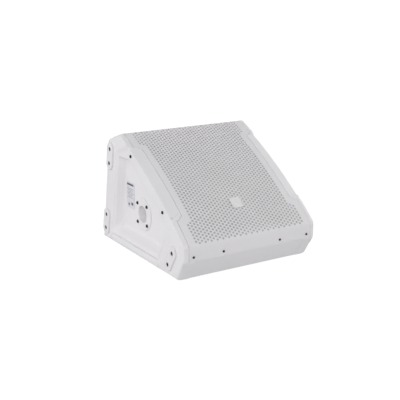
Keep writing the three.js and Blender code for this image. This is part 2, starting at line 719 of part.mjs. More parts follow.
function amplifierTray() {
  const flange = plate(roundedRectangle(TRAY_WIDTH + 2 * TRAY_FLANGE, TRAY_HEIGHT + 2 * TRAY_FLANGE, 6),
    GAP - 2.5, TRAY_SHEET - 2.5);
  const pan = box(TRAY_WIDTH, TRAY_HEIGHT, TRAY_DEPTH, 0, 0, -TRAY_DEPTH / 2 - 0.5);
  const room = box(TRAY_WIDTH - 2 * TRAY_SHEET, TRAY_HEIGHT - 2 * TRAY_SHEET, TRAY_DEPTH, 0, 0,
    FLOOR - 0.5 + TRAY_DEPTH / 2);
  const holes = [];
  for (const [x, y] of KNOB_PLACES) holes.push(rod(3.3, -30, 0, x, y, 16));
  holes.push(rod(3.6, -30, 0, ...BUTTON_PLACE, 16), rod(2.4, -30, 0, ...LIGHT_PLACE, 12));
  for (const place of [INPUT_PLACE, LINK_PLACE]) holes.push(rod(12.3, -30, 0, ...place, 24));
  holes.push(box(28.6, 36.6, 30, INLET_PLACE[0], INLET_PLACE[1], -15));
  holes.push(box(14.6, 22.6, 30, ROCKER_PLACE[0], ROCKER_PLACE[1], -15));
  return cut(join(flange, pan), room, ...holes);
}

/** A round panel connector: a flange, a collar and a socket that the plug goes into. */
function panelSocket(latched, [x, y]) {
  const base = FLOOR - 0.5 + GAP;
  const body = join(
    plate(roundedRectangle(26, 31, 3), base, base + 2),
    rod(12, -38, base + 1, 0, 0, 24),
  );
  const cutters = [rod(9.6, base - 14, base + 5, 0, 0, 24)];
  if (latched) cutters.push(box(6.6, 4.5, 8, 0, 12.4, base + 1));
  const socket = cut(body, ...cutters);
  if (latched) return socket.translate(x, y, 0);
  const pins = [0, 1, 2].map((i) => {
    const angle = Math.PI / 6 + i * 2 * Math.PI / 3;
    return rod(1.2, base - 15, base - 3, 5 * Math.cos(angle), 5 * Math.sin(angle), 8);
  });
  return join(socket, ...pins).translate(x, y, 0);
}

function inputLatch() {
  const base = FLOOR - 0.5 + GAP;
  return box(6, 3.9, 2.2, INPUT_PLACE[0], INPUT_PLACE[1] + 12.4, base + 2.6);
}

function knob([x, y]) {
  const low = FLOOR - 0.2;
  const body = turned([
    [0, low - 10], [2.9, low - 10], [2.9, low + 0.6], [8, low + 0.6], [8, low + 3], [6.8, low + 12],
    [6, low + 13], [0, low + 13],
  ], 20);
  const line = box(1.2, 5, 2, 0, 4.6, low + 13);
  return cut(body, line).translate(x, y, 0);
}

function modeButton() {
  const [x, y] = BUTTON_PLACE;
  const profile = [[0, -24], [3.2, -24], [3.2, FLOOR + 3.4], [2.7, FLOOR + 4], [0, FLOOR + 4]];
  return turned(profile, 16).translate(x, y, 0);
}

function statusLight() {
  const [x, y] = LIGHT_PLACE;
  return turned([[0, -22], [2, -22], [2, FLOOR], [1.6, FLOOR + 1], [0, FLOOR + 1.4]], 12).translate(x, y, 0);
}

/** Mains inlet above a fuse compartment: the plug's recess, its three blades and the drawer's slot. */
function powerInlet() {
  const base = FLOOR - 0.5 + GAP;
  const [x, y] = INLET_PLACE;
  const body = join(
    plate(roundedRectangle(34, 44, 3), base, base + 2.5),
    box(28, 36, 26, 0, 0, base - 12),
  );
  const mouth = box(24.5, 16.5, 17, 0, 8, base - 5.5);
  const slot = box(22.6, 8.6, 30, 0, -11, base - 8);
  const blades = [[-7, 6.5], [7, 6.5], [0, 10.5]].map(([bx, by]) => box(4, 2, 12, bx, by, base - 8));
  return join(cut(body, mouth, slot), ...blades).translate(x, y, 0);
}

function fuseDrawer() {
  const base = FLOOR - 0.5 + GAP;
  const [x, y] = INLET_PLACE;
  const tray = box(22, 8, 21, 0, -11, base - 7.3);
  const room = box(17, 5, 14, 0, -9.4, base - 9);
  const front = box(26, 10, 1.6, 0, -11, base + 3.6);
  return join(cut(tray, room), front).translate(x, y, 0);
}

function rockerFrame() {
  const base = FLOOR - 0.5 + GAP;
  const [x, y] = ROCKER_PLACE;
  const body = join(plate(roundedRectangle(20, 28, 2), base, base + 2), box(14, 22, 16, 0, 0, base - 7));
  return cut(body, box(11, 18.5, 15, 0, 0, base - 3.5)).translate(x, y, 0);
}

/** Height of the rocker's hinge above the tray's floor. */
const ROCKER_HINGE = FLOOR - 0.2 - 2;

function powerRocker() {
  const [x, y] = ROCKER_PLACE;
  const lean = 0.14;
  const outline = [[0, -6], [4, -5], [8.6, 3.4], [8.2, 5.2], [0, 3.4], [-8.2, 5.2], [-8.6, 3.4], [-4, -5]];
  const side = new THREE.ExtrudeGeometry(shapeOf(outline), { depth: 10, bevelEnabled: false });
  turnSideways(side, -5).rotateX(lean);
  return side.translate(x, y, ROCKER_HINGE);
}

function heatSink() {
  const base = FLOOR - 0.5 + GAP;
  const [x, y] = FINS_PLACE;
  const fins = [];
  for (let i = 0; i < 9; i++) fins.push(box(2, 44, 12.5, -32 + 8 * i, 0, base + 8.2));
  return join(box(68, 44, 3, 0, 0, base + 1.5), ...fins).translate(x, y, 0);
}

function amplifierBoard() {
  const back = -TRAY_DEPTH - 0.5;
  const board = box(160, 96, 1.6, 0, 0, back - 26);
  const pieces = [];
  for (const x of [-1, 1]) {
    for (const y of [-1, 1]) pieces.push(rod(3, back - 26, back - GAP, x * 76, y * 44, 10));
  }
  pieces.push(box(40, 24, 14, 20, -26, back - 33.5), box(26, 20, 10, -30, 22, back - 31.5));
  for (const x of [40, 58]) pieces.push(rod(8, back - 50, back - 26, x, 18, 16));
  return join(board, ...pieces);
}

function powerTransformer() {
  const ring = turned([[12, 0], [33, 0], [36, 3], [36, 27], [33, 30], [12, 30]], 32, true);
  return join(ring, rod(13, 0, 32, 0, 0, 24));
}

// ---- assembly --------------------------------------------------------------------------------------

const paint = (color, roughness, metalness = 0) => (
  new THREE.MeshStandardMaterial({ color, roughness, metalness }));
const WHITE_PLASTIC = paint(0xe9e9ea, 0.55);
const WHITE_PAINT = paint(0xe4e4e5, 0.6);
const WHITE_METAL = paint(0xe2e2e3, 0.5, 0.1);
const GLOSS_WHITE = paint(0xf0f0f0, 0.3);
const PAD_PLASTIC = paint(0xdcdcdd, 0.7);
const BLACK_METAL = paint(0x1c1c1e, 0.45, 0.6);
const BLACK_PLASTIC = paint(0x202022, 0.5);
const BLACK_RUBBER = paint(0x161617, 0.9);
const PALE_FOAM = paint(0xb9babd, 0.95);
const PAPER = paint(0x26262a, 0.9);
const STEEL = paint(0x8b8d90, 0.4, 0.9);
const FERRITE = paint(0x3a3a3d, 0.7, 0.3);
const ALUMINIUM = paint(0xa9abae, 0.35, 0.9);
const COPPER = paint(0xb87345, 0.35, 0.9);
const WHITE_TRAY = paint(0xd9d9db, 0.5, 0.2);
const BOARD_GREEN = paint(0x1f5a36, 0.6);
const LENS = paint(0x3fae5a, 0.2);

const part = new THREE.Group();

function add(parent, name, geometry, material) {
  const mesh = new THREE.Mesh(geometry, material);
  mesh.name = name;
  parent.add(mesh);
  return mesh;
}

// Outside: cabinet, panels, grille, pads and feet.
add(part, 'cabinet_shell', cabinetShell(), WHITE_PAINT);
add(part, 'side_panel_right', sidePanel(false), WHITE_PLASTIC);
add(part, 'side_panel_left', mirrored(sidePanel(true)), WHITE_PLASTIC);
add(part, 'front_grille', frontGrille(), WHITE_METAL);
add(part, 'grille_foam', grilleFoam(), PALE_FOAM);
add(part, 'badge', badge(), GLOSS_WHITE);

grilleScrewPlaces().forEach(([x, y, z], i) => {
  const mesh = add(part, `grille_screw_${i + 1}`, screw(...LIP_SCREW), BLACK_METAL);
  mesh.rotation.x = Math.PI / 2;
  mesh.position.set(x, y - GAP, z);
});

for (const place of PAD_PLACES) {
  add(part, `side_pad_right_${place.name}`, sidePad(place), PAD_PLASTIC);
  add(part, `side_pad_left_${place.name}`, mirrored(sidePad(place)), PAD_PLASTIC);
}

panelScrewPlaces().forEach(([y, z], i) => {
  for (const [side, sign] of [['left', -1], ['right', 1]]) {
    const mesh = add(part, `panel_screw_${side}_${i + 1}`, screw(...LEDGE_SCREW), BLACK_METAL);
    mesh.rotation.y = sign * Math.PI / 2;
    mesh.position.set(sign * (PANEL_OUTER - LEDGE_DEPTH + GAP), y, z);
  }
});

let foot = 0;
for (const y of [-112, 140]) {
  for (const x of [-108, 108]) {
    foot += 1;
    add(part, `rubber_foot_${foot}`, rubberFoot(), BLACK_RUBBER).position.set(x, y, 0);
  }
}

// Pole socket and blank plate in the left pocket.
const pocketFloor = PANEL_OUTER - POCKET_DEPTH + GAP;
const socket = add(part, 'pole_socket', poleSocket(), WHITE_PLASTIC);
socket.rotation.y = -Math.PI / 2;
socket.position.set(-pocketFloor, ...POLE_CENTRE);
poleScrewPlaces().forEach(([y, z], i) => {
  const mesh = add(part, `pole_socket_screw_${i + 1}`, screw(...POLE_SCREW), BLACK_METAL);
  mesh.rotation.y = -Math.PI / 2;
  mesh.position.set(-(pocketFloor + POLE_FLANGE_RISE + GAP), y, z);
});
const idPlate = turnSideways(plate(roundedRectangle(...PLATE_SIZE, 2), 0, 0.8), pocketFloor);
add(part, 'blank_plate', mirrored(idPlate.translate(0, ...PLATE_CENTRE)), GLOSS_WHITE);

// Coaxial speaker, baffle and ports, in the speaker's own frame.
const front = new THREE.Group();
front.position.set(0, ...FRONT_CENTRE);
front.rotation.x = SLOPE;
part.add(front);
add(front, 'baffle_board', baffleBoard(), BLACK_PLASTIC);
add(front, 'woofer_basket', wooferBasket(), STEEL);
add(front, 'woofer_magnet', wooferMagnet(), FERRITE);
add(front, 'voice_coil', voiceCoil(), COPPER);
add(front, 'woofer_cone', wooferCone(), PAPER);
add(front, 'woofer_surround', wooferSurround(), BLACK_RUBBER);
add(front, 'woofer_spider', wooferSpider(), PALE_FOAM);
add(front, 'woofer_gasket', wooferGasket(), BLACK_RUBBER);
add(front, 'coaxial_horn', coaxialHorn(), BLACK_PLASTIC);
add(front, 'compression_driver', compressionDriver(), ALUMINIUM);
for (const [side, sign] of [['left', -1], ['right', 1]]) {
  add(front, `port_tube_${side}`, portTube(), BLACK_PLASTIC).position.set(sign * PORT_X, PORT_Y, 0);
}

// Amplifier tray, in the rear frame: local X is to the right when facing the rear.
const rear = new THREE.Group();
rear.position.set(0, ...REAR_CENTRE);
rear.rotation.x = -Math.PI / 2 + REAR_LEAN;
part.add(rear);
const tray = new THREE.Group();
tray.rotation.z = Math.PI;
rear.add(tray);
add(tray, 'amplifier_tray', amplifierTray(), WHITE_TRAY);
add(tray, 'amplifier_board', amplifierBoard(), BOARD_GREEN);
add(tray, 'heat_sink', heatSink(), ALUMINIUM);
add(tray, 'input_socket', panelSocket(true, INPUT_PLACE), BLACK_PLASTIC);
add(tray, 'input_latch', inputLatch(), STEEL);
add(tray, 'link_socket', panelSocket(false, LINK_PLACE), BLACK_PLASTIC);
KNOB_PLACES.forEach((place, i) => add(tray, `level_knob_${i + 1}`, knob(place), BLACK_PLASTIC));
add(tray, 'mode_button', modeButton(), BLACK_PLASTIC);
add(tray, 'status_light', statusLight(), LENS);
add(tray, 'power_inlet', powerInlet(), BLACK_PLASTIC);
add(tray, 'fuse_drawer', fuseDrawer(), BLACK_PLASTIC);
add(tray, 'rocker_frame', rockerFrame(), BLACK_PLASTIC);
add(tray, 'power_rocker', powerRocker(), BLACK_PLASTIC);

const transformer = add(part, 'power_transformer', powerTransformer(), COPPER);
transformer.position.set(78, 92, CABINET_FLOOR + WALL + GAP);

export default part;
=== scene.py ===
import math

import bmesh
import bpy
import numpy as np
from mathutils import Matrix, Vector
from mathutils.geometry import delaunay_2d_cdt


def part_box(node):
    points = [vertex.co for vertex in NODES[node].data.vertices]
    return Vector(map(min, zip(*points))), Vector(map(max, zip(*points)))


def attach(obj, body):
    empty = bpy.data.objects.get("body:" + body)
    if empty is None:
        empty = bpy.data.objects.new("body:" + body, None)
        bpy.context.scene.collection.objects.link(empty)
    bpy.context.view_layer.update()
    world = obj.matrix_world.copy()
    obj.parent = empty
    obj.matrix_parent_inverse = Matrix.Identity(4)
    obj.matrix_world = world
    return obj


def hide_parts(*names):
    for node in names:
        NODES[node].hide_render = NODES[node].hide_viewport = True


# A white powered floor monitor: a wedge with a perforated sloping grille and moulded side panels.
# Sizes are in millimetres, in the frame of the solids, and become metres where a mesh is made.
MM = 0.001

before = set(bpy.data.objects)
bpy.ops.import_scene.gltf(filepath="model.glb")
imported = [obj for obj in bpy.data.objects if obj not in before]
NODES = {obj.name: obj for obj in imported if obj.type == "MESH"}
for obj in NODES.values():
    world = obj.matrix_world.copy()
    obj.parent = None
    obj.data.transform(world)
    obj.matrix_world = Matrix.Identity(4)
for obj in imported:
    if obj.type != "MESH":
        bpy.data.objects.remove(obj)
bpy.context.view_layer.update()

# ---- driving sizes, the same as the solids' ----------------------

APEX = np.array([87.0, 255.0])          # top edge of the sloping front, in Y and Z
FOLD = np.array([-180.0, 78.5])         # where the front meets the upright lip
REAR_TOP = np.array([142.5, 234.5])
REAR_BOTTOM = np.array([182.0, 1.0])
FRONT_BOTTOM = np.array([-152.0, 1.0])
LIP_END = 47.0                          # lower edge of the grille's lip
LIP_CORNER = np.array([-180.0, 46.0])   # where the upright lip meets the chamfer under it
CHORD = float(np.linalg.norm(FOLD - APEX))
DOWN = (FOLD - APEX) / CHORD            # down the slope
OUT = np.array([DOWN[1], -DOWN[0]])     # out of the slope
SLOPE = math.atan2(-DOWN[1], -DOWN[0])
FRONT_RISE = 12.0                       # how far the bowed front stands out of its chord at most
FRONT_PEAK = 0.56                       # where along the chord it does

GRILLE_THICK = 1.5
GRILLE_WIDE = 148.6                     # half widths: at the ends, and between the hand grips
GRILLE_NARROW = 133.1
GRILLE_NECK = (47.0, 58.0, 251.0, 262.0)  # where along the slope it narrows and widens again
GRILLE_RETURN = 12.0                    # length of the part bent back behind the apex
LIP_SCREWS = (-138.5, -69.2, 69.2, 138.5)
LIP_SCREW_HEIGHT = 54.6
HOLE_PITCH = 7.8                        # down the slope
HOLE_COLUMN = 6.83                      # from one column to the next
HOLE_START = 4.7                        # length of the slope before the pattern's first row
HOLE_RADIUS = 2.6
HOLE_SIDES = 14
FOAM_HALF = 132.0                       # half width of the foam's thin skin
FOAM_ROOM = 14.5                        # length of chord over the boards at either end
# The field of holes: half widths at lengths down the slope.
FIELD = [(1.5, 134.0), (41.0, 134.0), (55.0, 120.0), (258.0, 120.0), (270.0, 134.0), (322.0, 134.0)]

PANEL_OUTER = 160.5
POCKET_DEPTH = 20.0
LEDGE_DEPTH = 3.0
LEDGE_SCREWS = (61.0, 221.0)            # lengths down the slope
LEDGE_SCREW_DROP = 8.5                  # below the chord
# Outlines in Y and Z on a side panel. The stretch after the fifth point is open, towards the hand grip.
RIM = [(136.5, 20.5), (-74.7, 20.5), (-124.5, 98.0), (-141.0, 112.0), (-175.0, 135.0), (60.0, 262.0),
       (53.5, 236.5), (104.0, 217.5)]
LEDGE = [(133.5, 23.0), (-76.0, 23.0), (-120.0, 98.0), (-128.0, 116.0), (-165.0, 145.0), (40.0, 262.0),
         (46.0, 227.0), (101.5, 208.0)]
OPEN_STRETCH = 4
MOUTH = [(131.5, 24.5), (-76.5, 24.5), (-110.0, 103.0), (46.0, 206.0), (100.5, 206.0)]
WALL_RUN = (23.0, 9.0, 5.0, 9.0, 10.0)  # how far each of the pocket's walls slopes in from the mouth
GROOVE = (20.7, 21.9)                   # a thin groove along the foot of the rim, from and to in Z
GROOVE_DEPTH = 4.0
GAP = 0.3
POLE_CENTRE = (21.5, 91.0)
POLE_BORE = 18.0
POLE_FLANGE = 36.0
POLE_SCREW_HALF = 20.7                  # from the pole's centre to a screw, in Y and in Z
CUP_RADIUS = 20.5
CUP_DEPTH = 75.0
PLATE_SIZE = (34.0, 58.0)
PLATE_CENTRE = (78.0, 119.5)
BADGE_SIZE = (25.0, 27.0)
BADGE_ALONG = 242.0                     # length down the slope to the badge's middle
PAD_LENGTH = 62.0
PAD_WIDTH = 26.0
PAD_RISE = 3.5
# Each pad's middle in Y and Z, and its lean.
PADS = {"rear_top": (132.0, 198.5, 0.165), "rear_bottom": (159.0, 44.0, 0.165),
        "front": (-129.0, 40.5, 0.565)}
PAD_SCREWS = 16.5                       # from the pad's middle, along it
PAD_WELL = ((5.0, 0.0), (4.6, -0.35), (4.6, -2.2))  # radius and height, from its mouth to its floor

REAR_LEAN = math.atan2(REAR_BOTTOM[0] - REAR_TOP[0], REAR_TOP[1] - REAR_BOTTOM[1])
REAR_INSET = 2.2                        # the tray's face, inside the side panels' outline
REAR_CENTRE = (REAR_BOTTOM + (REAR_TOP - REAR_BOTTOM) * 0.44
               - REAR_INSET * np.array([math.cos(REAR_LEAN), math.sin(REAR_LEAN)]))
TRAY_FLOOR = -16.5
# Radius and height of each kind of screw head.
LIP_HEAD, LEDGE_HEAD, POLE_HEAD, PAD_HEAD = (2.5, 1.35), (3.5, 2.0), (3.7, 2.0), (4.1, 1.8)
TRAY_HEAD, SOCKET_HEAD = (3.2, 1.5), (2.2, 1.0)


def on_chord(along, height):
    """The point in Y and Z at a length down the slope's chord and a height out of it."""
    return APEX + DOWN * along + OUT * height


def ease(t):
    """A soft step from 0 to 1."""
    t = np.clip(t, 0, 1)
    return t * t * (3 - 2 * t)


def rise(along):
    """How far the bowed front stands out of its chord."""
    share = min(max(along / CHORD, 0.0), 1.0)
    bend = 1 - 2 * FRONT_PEAK
    peak = 2 * FRONT_PEAK
    t = (peak - math.sqrt(peak * peak + 4 * bend * share)) / (-2 * bend)
    return 4 * FRONT_RISE * t * (1 - t)


# ---- materials ---------------------------------------------------


def finish(name, color, rough, grain=900.0, depth=0.03, tone=0.04, tone_scale=14.0, rough_spread=0.06,
           metal=0.0, coat=0.0, sheen=0.0, speck=0.0):
    """A surface with a fine grain, a slow drift of tone and an uneven gloss, all in object space."""
    mat = bpy.data.materials.new(name)
    mat.use_nodes = True
    tree = mat.node_tree
    link = tree.links.new
    shader = tree.nodes["Principled BSDF"]
    shader.inputs["Metallic"].default_value = metal
    shader.inputs["Coat Weight"].default_value = coat
    shader.inputs["Sheen Weight"].default_value = sheen
    place = tree.nodes.new("ShaderNodeTexCoord").outputs["Object"]

    def noise(scale, detail):
        node = tree.nodes.new("ShaderNodeTexNoise")
        node.inputs["Scale"].default_value = scale
        node.inputs["Detail"].default_value = detail
        link(place, node.inputs["Vector"])
        return node.outputs["Fac"]

    def spread(source, low, high):
        node = tree.nodes.new("ShaderNodeMapRange")
        node.inputs["From Min"].default_value = 0.3
        node.inputs["From Max"].default_value = 0.7
        node.inputs["To Min"].default_value = low
        node.inputs["To Max"].default_value = high
        link(source, node.inputs["Value"])
        return node.outputs["Result"]

    def times(first, second):
        node = tree.nodes.new("ShaderNodeMath")
        node.operation = "MULTIPLY"
        link(first, node.inputs[0])
        link(second, node.inputs[1])
        return node.outputs[0]

    fine = noise(grain, 2.0)
    drift = times(spread(noise(tone_scale, 3.0), 1 - tone, 1.0), spread(fine, 1 - speck, 1.0))
    shade = tree.nodes.new("ShaderNodeMix")
    shade.data_type = "RGBA"
    shade.inputs["A"].default_value = (0.0, 0.0, 0.0, 1.0)
    shade.inputs["B"].default_value = (*color, 1.0)
    link(drift, shade.inputs["Factor"])
    link(shade.outputs["Result"], shader.inputs["Base Color"])
    gloss = spread(noise(tone_scale * 6, 3.0), rough - rough_spread, rough + rough_spread)
    link(gloss, shader.inputs["Roughness"])
    bump = tree.nodes.new("ShaderNodeBump")
    bump.inputs["Strength"].default_value = 0.6
    bump.inputs["Distance"].default_value = depth * MM
    link(fine, bump.inputs["Height"])
    link(bump.outputs["Normal"], shader.inputs["Normal"])
    return mat


WHITE = (0.868, 0.852, 0.873)
MOULDED = finish("moulded_white", WHITE, 0.5, grain=1100, depth=0.05, tone=0.03)
PAINTED = finish("textured_white_paint", WHITE, 0.55, grain=650, depth=0.12, tone=0.03)
POWDER = finish("powder_coated_sheet", (0.838, 0.822, 0.842), 0.45, grain=1400, depth=0.03, tone=0.025)
FOAM = finish("open_cell_foam", (0.68, 0.667, 0.685), 0.95, grain=1100, depth=0.5, tone=0.12, speck=0.3,
              sheen=0.2)
GLOSS = finish("gloss_badge", (0.88, 0.865, 0.883), 0.25, grain=300, depth=0.01, tone=0.02, coat=0.3)
LABEL = finish("plate_film", (0.76, 0.76, 0.81), 0.4, grain=500, depth=0.01, tone=0.03)
PAD = finish("pad_plastic", (0.85, 0.835, 0.855), 0.6, grain=1400, depth=0.05, tone=0.05)
SCREW = finish("black_oxide", (0.05, 0.048, 0.055), 0.4, grain=700, depth=0.02, tone=0.3, metal=0.7)
RUBBER = finish("black_rubber", (0.022, 0.022, 0.022), 0.85, grain=900, depth=0.08, tone=0.2)
BOARD = finish("black_stained_board", (0.035, 0.033, 0.03), 0.75, grain=240, depth=0.15, tone=0.3)
STEEL = finish("painted_basket", (0.05, 0.05, 0.055), 0.45, grain=500, depth=0.05, tone=0.15)
FERRITE = finish("fired_ferrite", (0.09, 0.09, 0.1), 0.6, grain=260, depth=0.12, tone=0.2, metal=0.3)
COIL = finish("enamelled_copper", (0.6, 0.25, 0.08), 0.3, grain=1800, depth=0.08, tone=0.1, metal=1.0)
CONE = finish("pulp_paper", (0.03, 0.03, 0.032), 0.8, grain=420, depth=0.18, tone=0.25, speck=0.3)
CLOTH = finish("doped_cloth", (0.03, 0.03, 0.032), 0.6, grain=1600, depth=0.2, tone=0.2)
SPIDER = finish("phenolic_cloth", (0.5, 0.34, 0.13), 0.85, grain=1600, depth=0.2, tone=0.2, speck=0.2)
BLACK = finish("moulded_black", (0.03, 0.03, 0.032), 0.5, grain=1200, depth=0.04, tone=0.2)
CAST = finish("cast_aluminium", (0.6, 0.6, 0.61), 0.4, grain=420, depth=0.08, tone=0.12, metal=1.0)
BLASTED = finish("blasted_aluminium", (0.66, 0.66, 0.67), 0.5, grain=1300, depth=0.05, tone=0.08, metal=1.0)
MASK = finish("solder_mask", (0.03, 0.14, 0.06), 0.35, grain=220, depth=0.05, tone=0.3, coat=0.3)
WINDING = finish("taped_winding", (0.45, 0.27, 0.08), 0.55, grain=300, depth=0.15, tone=0.3)
PLATED = finish("plated_steel", (0.7, 0.69, 0.66), 0.25, grain=800, depth=0.02, tone=0.1, metal=1.0)
LENS = finish("light_lens", (0.1, 0.5, 0.2), 0.15, grain=300, depth=0.01, tone=0.05, coat=0.5)
INK = finish("grey_ink", (0.12, 0.12, 0.125), 0.6, grain=900, depth=0.02, tone=0.15)

# ---- making pieces -----------------------------------------------


def piece(name, mesh, material, body, slot, *nodes):
    """A shown object that rides on a body and stands for the given nodes."""
    mesh.materials.clear()
    mesh.materials.append(material)
    obj = bpy.data.objects.new(name, mesh)
    bpy.context.scene.collection.objects.link(obj)
    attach(obj, body)
    if nodes:
        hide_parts(*nodes)
    return obj


def mesh_of(name, points, faces, angle):
    """A mesh from points in millimetres, smooth but for edges sharper than the angle."""
    mesh = bpy.data.meshes.new(name)
    mesh.from_pydata([tuple(float(c) * MM for c in p) for p in points], [], faces)
    mesh.validate()
    bm = bmesh.new()
    bm.from_mesh(mesh)
    bmesh.ops.recalc_face_normals(bm, faces=bm.faces)
    bm.to_mesh(mesh)
    bm.free()
    mesh.shade_smooth()
    mesh.set_sharp_from_angle(angle=math.radians(angle))
    return mesh


def shown(name, shape, angle, material, body, slot, *nodes):
    """A piece of a shape's points and faces, sharp at edges past the angle."""
    return piece(name, mesh_of(name, *shape, angle), material, body, slot, *nodes)


def copied(node):
    """A solid as an editable mesh whose flat faces are whole."""
    bm = bmesh.new()
    bm.from_mesh(NODES[node].data)
    bmesh.ops.remove_doubles(bm, verts=bm.verts, dist=0.00002)
    bmesh.ops.dissolve_limit(bm, angle_limit=math.radians(0.6), verts=bm.verts, edges=bm.edges)
    return bm


def round_edges(bm, width, segments, but=()):
    """Rounds the sharp edges, all but the short ones and those named. The new faces take material 0."""
    sharp = [e for e in bm.edges if len(e.link_faces) == 2 and e.calc_length() > 3.0 * MM
             and e.calc_face_angle(0.0) > math.radians(28.0) and e not in but]
    bmesh.ops.bevel(bm, geom=sharp, offset=width * MM, offset_type="OFFSET", segments=segments, profile=0.5,
                    affect="EDGES", clamp_overlap=True, miter_outer="ARC", material=0)


def round_corner(bm, corner, width, segments, reach):
    """Rounds the edges that run across the panel along one corner of its outline."""
    chain = []
    for edge in bm.edges:
        ends = [np.array([v.co.y, v.co.z]) / MM for v in edge.verts]
        across = abs(edge.verts[0].co.x - edge.verts[1].co.x)
        if (max(np.hypot(*(end - corner)) for end in ends) < reach and across > 0.3 * edge.calc_length()
                and len(edge.link_faces) == 2 and edge.calc_face_angle(0.0) > math.radians(15)):
            chain.append(edge)
    bmesh.ops.bevel(bm, geom=chain, offset=width * MM, offset_type="OFFSET", segments=segments, profile=0.5,
                    affect="EDGES", clamp_overlap=False, material=0)


def rounded(node, name, material, body, slot, width, segments=2):
    """A copy of a solid with its sharp edges rounded, standing for it."""
    bm = copied(node)
    round_edges(bm, width, segments)
    return settled(bm, name, material, body, slot, node)


def settled(bm, name, material, body, slot, node):
    """Turns an edited copy into a piece with even normals that stands for its solid."""
    bmesh.ops.triangulate(bm, faces=[f for f in bm.faces if len(f.verts) > 4])
    bmesh.ops.recalc_face_normals(bm, faces=bm.faces)
    mesh = bpy.data.meshes.new(name + "_rough")
    bm.to_mesh(mesh)
    bm.free()
    mesh.shade_smooth()
    mesh.set_sharp_from_angle(angle=math.radians(50))
    rough = bpy.data.objects.new(name + "_rough", mesh)
    bpy.context.scene.collection.objects.link(rough)
    weighted = rough.modifiers.new("normals", "WEIGHTED_NORMAL")
    weighted.keep_sharp = True
    made = bpy.data.meshes.new_from_object(rough.evaluated_get(bpy.context.evaluated_depsgraph_get()))
    bpy.data.objects.remove(rough)
    made.name = name
    return piece(name, made, material, body, slot, node)


def carried(node, material):
    """A solid shown as it is, with a finished material."""
    mesh = NODES[node].data
    mesh.materials.clear()
    mesh.materials.append(material)


def lathe(profile, segments):
    """Points and faces of a profile in radius and height, turned about Z."""
    points, faces, rings = [], [], []
    for radius, height in profile:
        if radius < 1e-6:
            rings.append([len(points)])
            points.append((0.0, 0.0, height))
            continue
        ring = []
        for i in range(segments):
            turn = 2 * math.pi * i / segments
            ring.append(len(points))
            points.append((radius * math.cos(turn), radius * math.sin(turn), height))
        rings.append(ring)
    for low, high in zip(rings, rings[1:]):
        for i in range(segments):
            j = (i + 1) % segments
            if len(low) == 1:
                faces.append((low[0], high[j], high[i]))
            elif len(high) == 1:
                faces.append((low[i], low[j], high[0]))
            else:
                faces.append((low[i], low[j], high[j], high[i]))
    return points, faces


def loops(rings, cap_last=True):
    """Points and faces of equal rings joined one to the next, with the first one filled."""
    points = [p for ring in rings for p in ring]
    count = len(rings[0])
    faces = []
    for r in range(len(rings) - 1):
        for i in range(count):
            j = (i + 1) % count
            faces.append((r * count + i, r * count + j, (r + 1) * count + j, (r + 1) * count + i))
    faces.append(tuple(range(count))[::-1])
    if cap_last:
        faces.append(tuple((len(rings) - 1) * count + i for i in range(count)))
    return points, faces


def placed(shape, matrix):
    """Points and faces of a shape, moved by a matrix."""
    points, faces = shape
    return [tuple(matrix @ Vector(p)) for p in points], faces


def together(*shapes):
    """Points and faces of several shapes as one."""
    points, faces = [], []
    for more, added in shapes:
        start = len(points)
        points.extend(more)
        faces.extend(tuple(start + i for i in face) for face in added)
    return points, faces


def facing(axis, at):
    """A matrix whose Z looks along an axis and whose Y leans upwards, standing at a point."""
    z = Vector(axis).normalized()
    x = Vector((0.0, 0.0, 1.0)).cross(z).normalized()
    y = z.cross(x)
    turn = Matrix((x, y, z)).transposed().to_4x4()
    turn.translation = Vector(at)
    return turn


# ---- screws ------------------------------------------------------


def star(turn, half, reach):
    """Radius at an angle of a cross-shaped recess."""
    c, s = abs(math.cos(turn)) + 1e-9, abs(math.sin(turn)) + 1e-9
    return max(min(half / s, reach / c), min(half / c, reach / s))


def hexagon(turn, flat):
    """Radius at an angle of a hexagonal recess."""
    sector = (turn + math.pi / 6) % (math.pi / 3) - math.pi / 6
    return flat / math.cos(sector)


def screw_head(radius, height, drive):
    """A domed head with a drive recess, standing on z = 0, with its skirt a little below that."""
    count = 48
    turns = [2 * math.pi * i / count for i in range(count)]

    def ring(size, z):
        return [(size * math.cos(t), size * math.sin(t), z) for t in turns]

    def recess(scale, z):
        if drive == "cross":
            sizes = [scale * star(t, 0.13 * radius, 0.5 * radius) for t in turns]
        else:
            sizes = [scale * hexagon(t, 0.42 * radius) for t in turns]
        return [(r * math.cos(t), r * math.sin(t), z) for r, t in zip(sizes, turns)]

    rings = [ring(radius, -0.25), ring(radius, 0.25 * height)]
    for share in (0.45, 0.65, 0.8):
        rings.append(ring(radius * math.sqrt(1 - (share * 0.85) ** 2 * 0.75), height * share))
    rings += [ring(0.62 * radius, 0.95 * height), ring(0.56 * radius, height)]
    rings += [recess(1.0, height), recess(0.94, 0.85 * height), recess(0.8, 0.25 * height)]
    return loops(rings)


def screw(name, node, at, axis, head, drive, turn):
    """A screw head on the cabinet, which stands for its node where it has one."""
    matrix = facing(axis, at) @ Matrix.Rotation(turn, 4, "Z")
    nodes = (node,) if node else ()
    shape = placed(screw_head(*head, drive), matrix)
    shown(name, shape, 40, SCREW, "cabinet", "black_fastener", *nodes)


# ---- the cabinet's chin ------------------------------------------


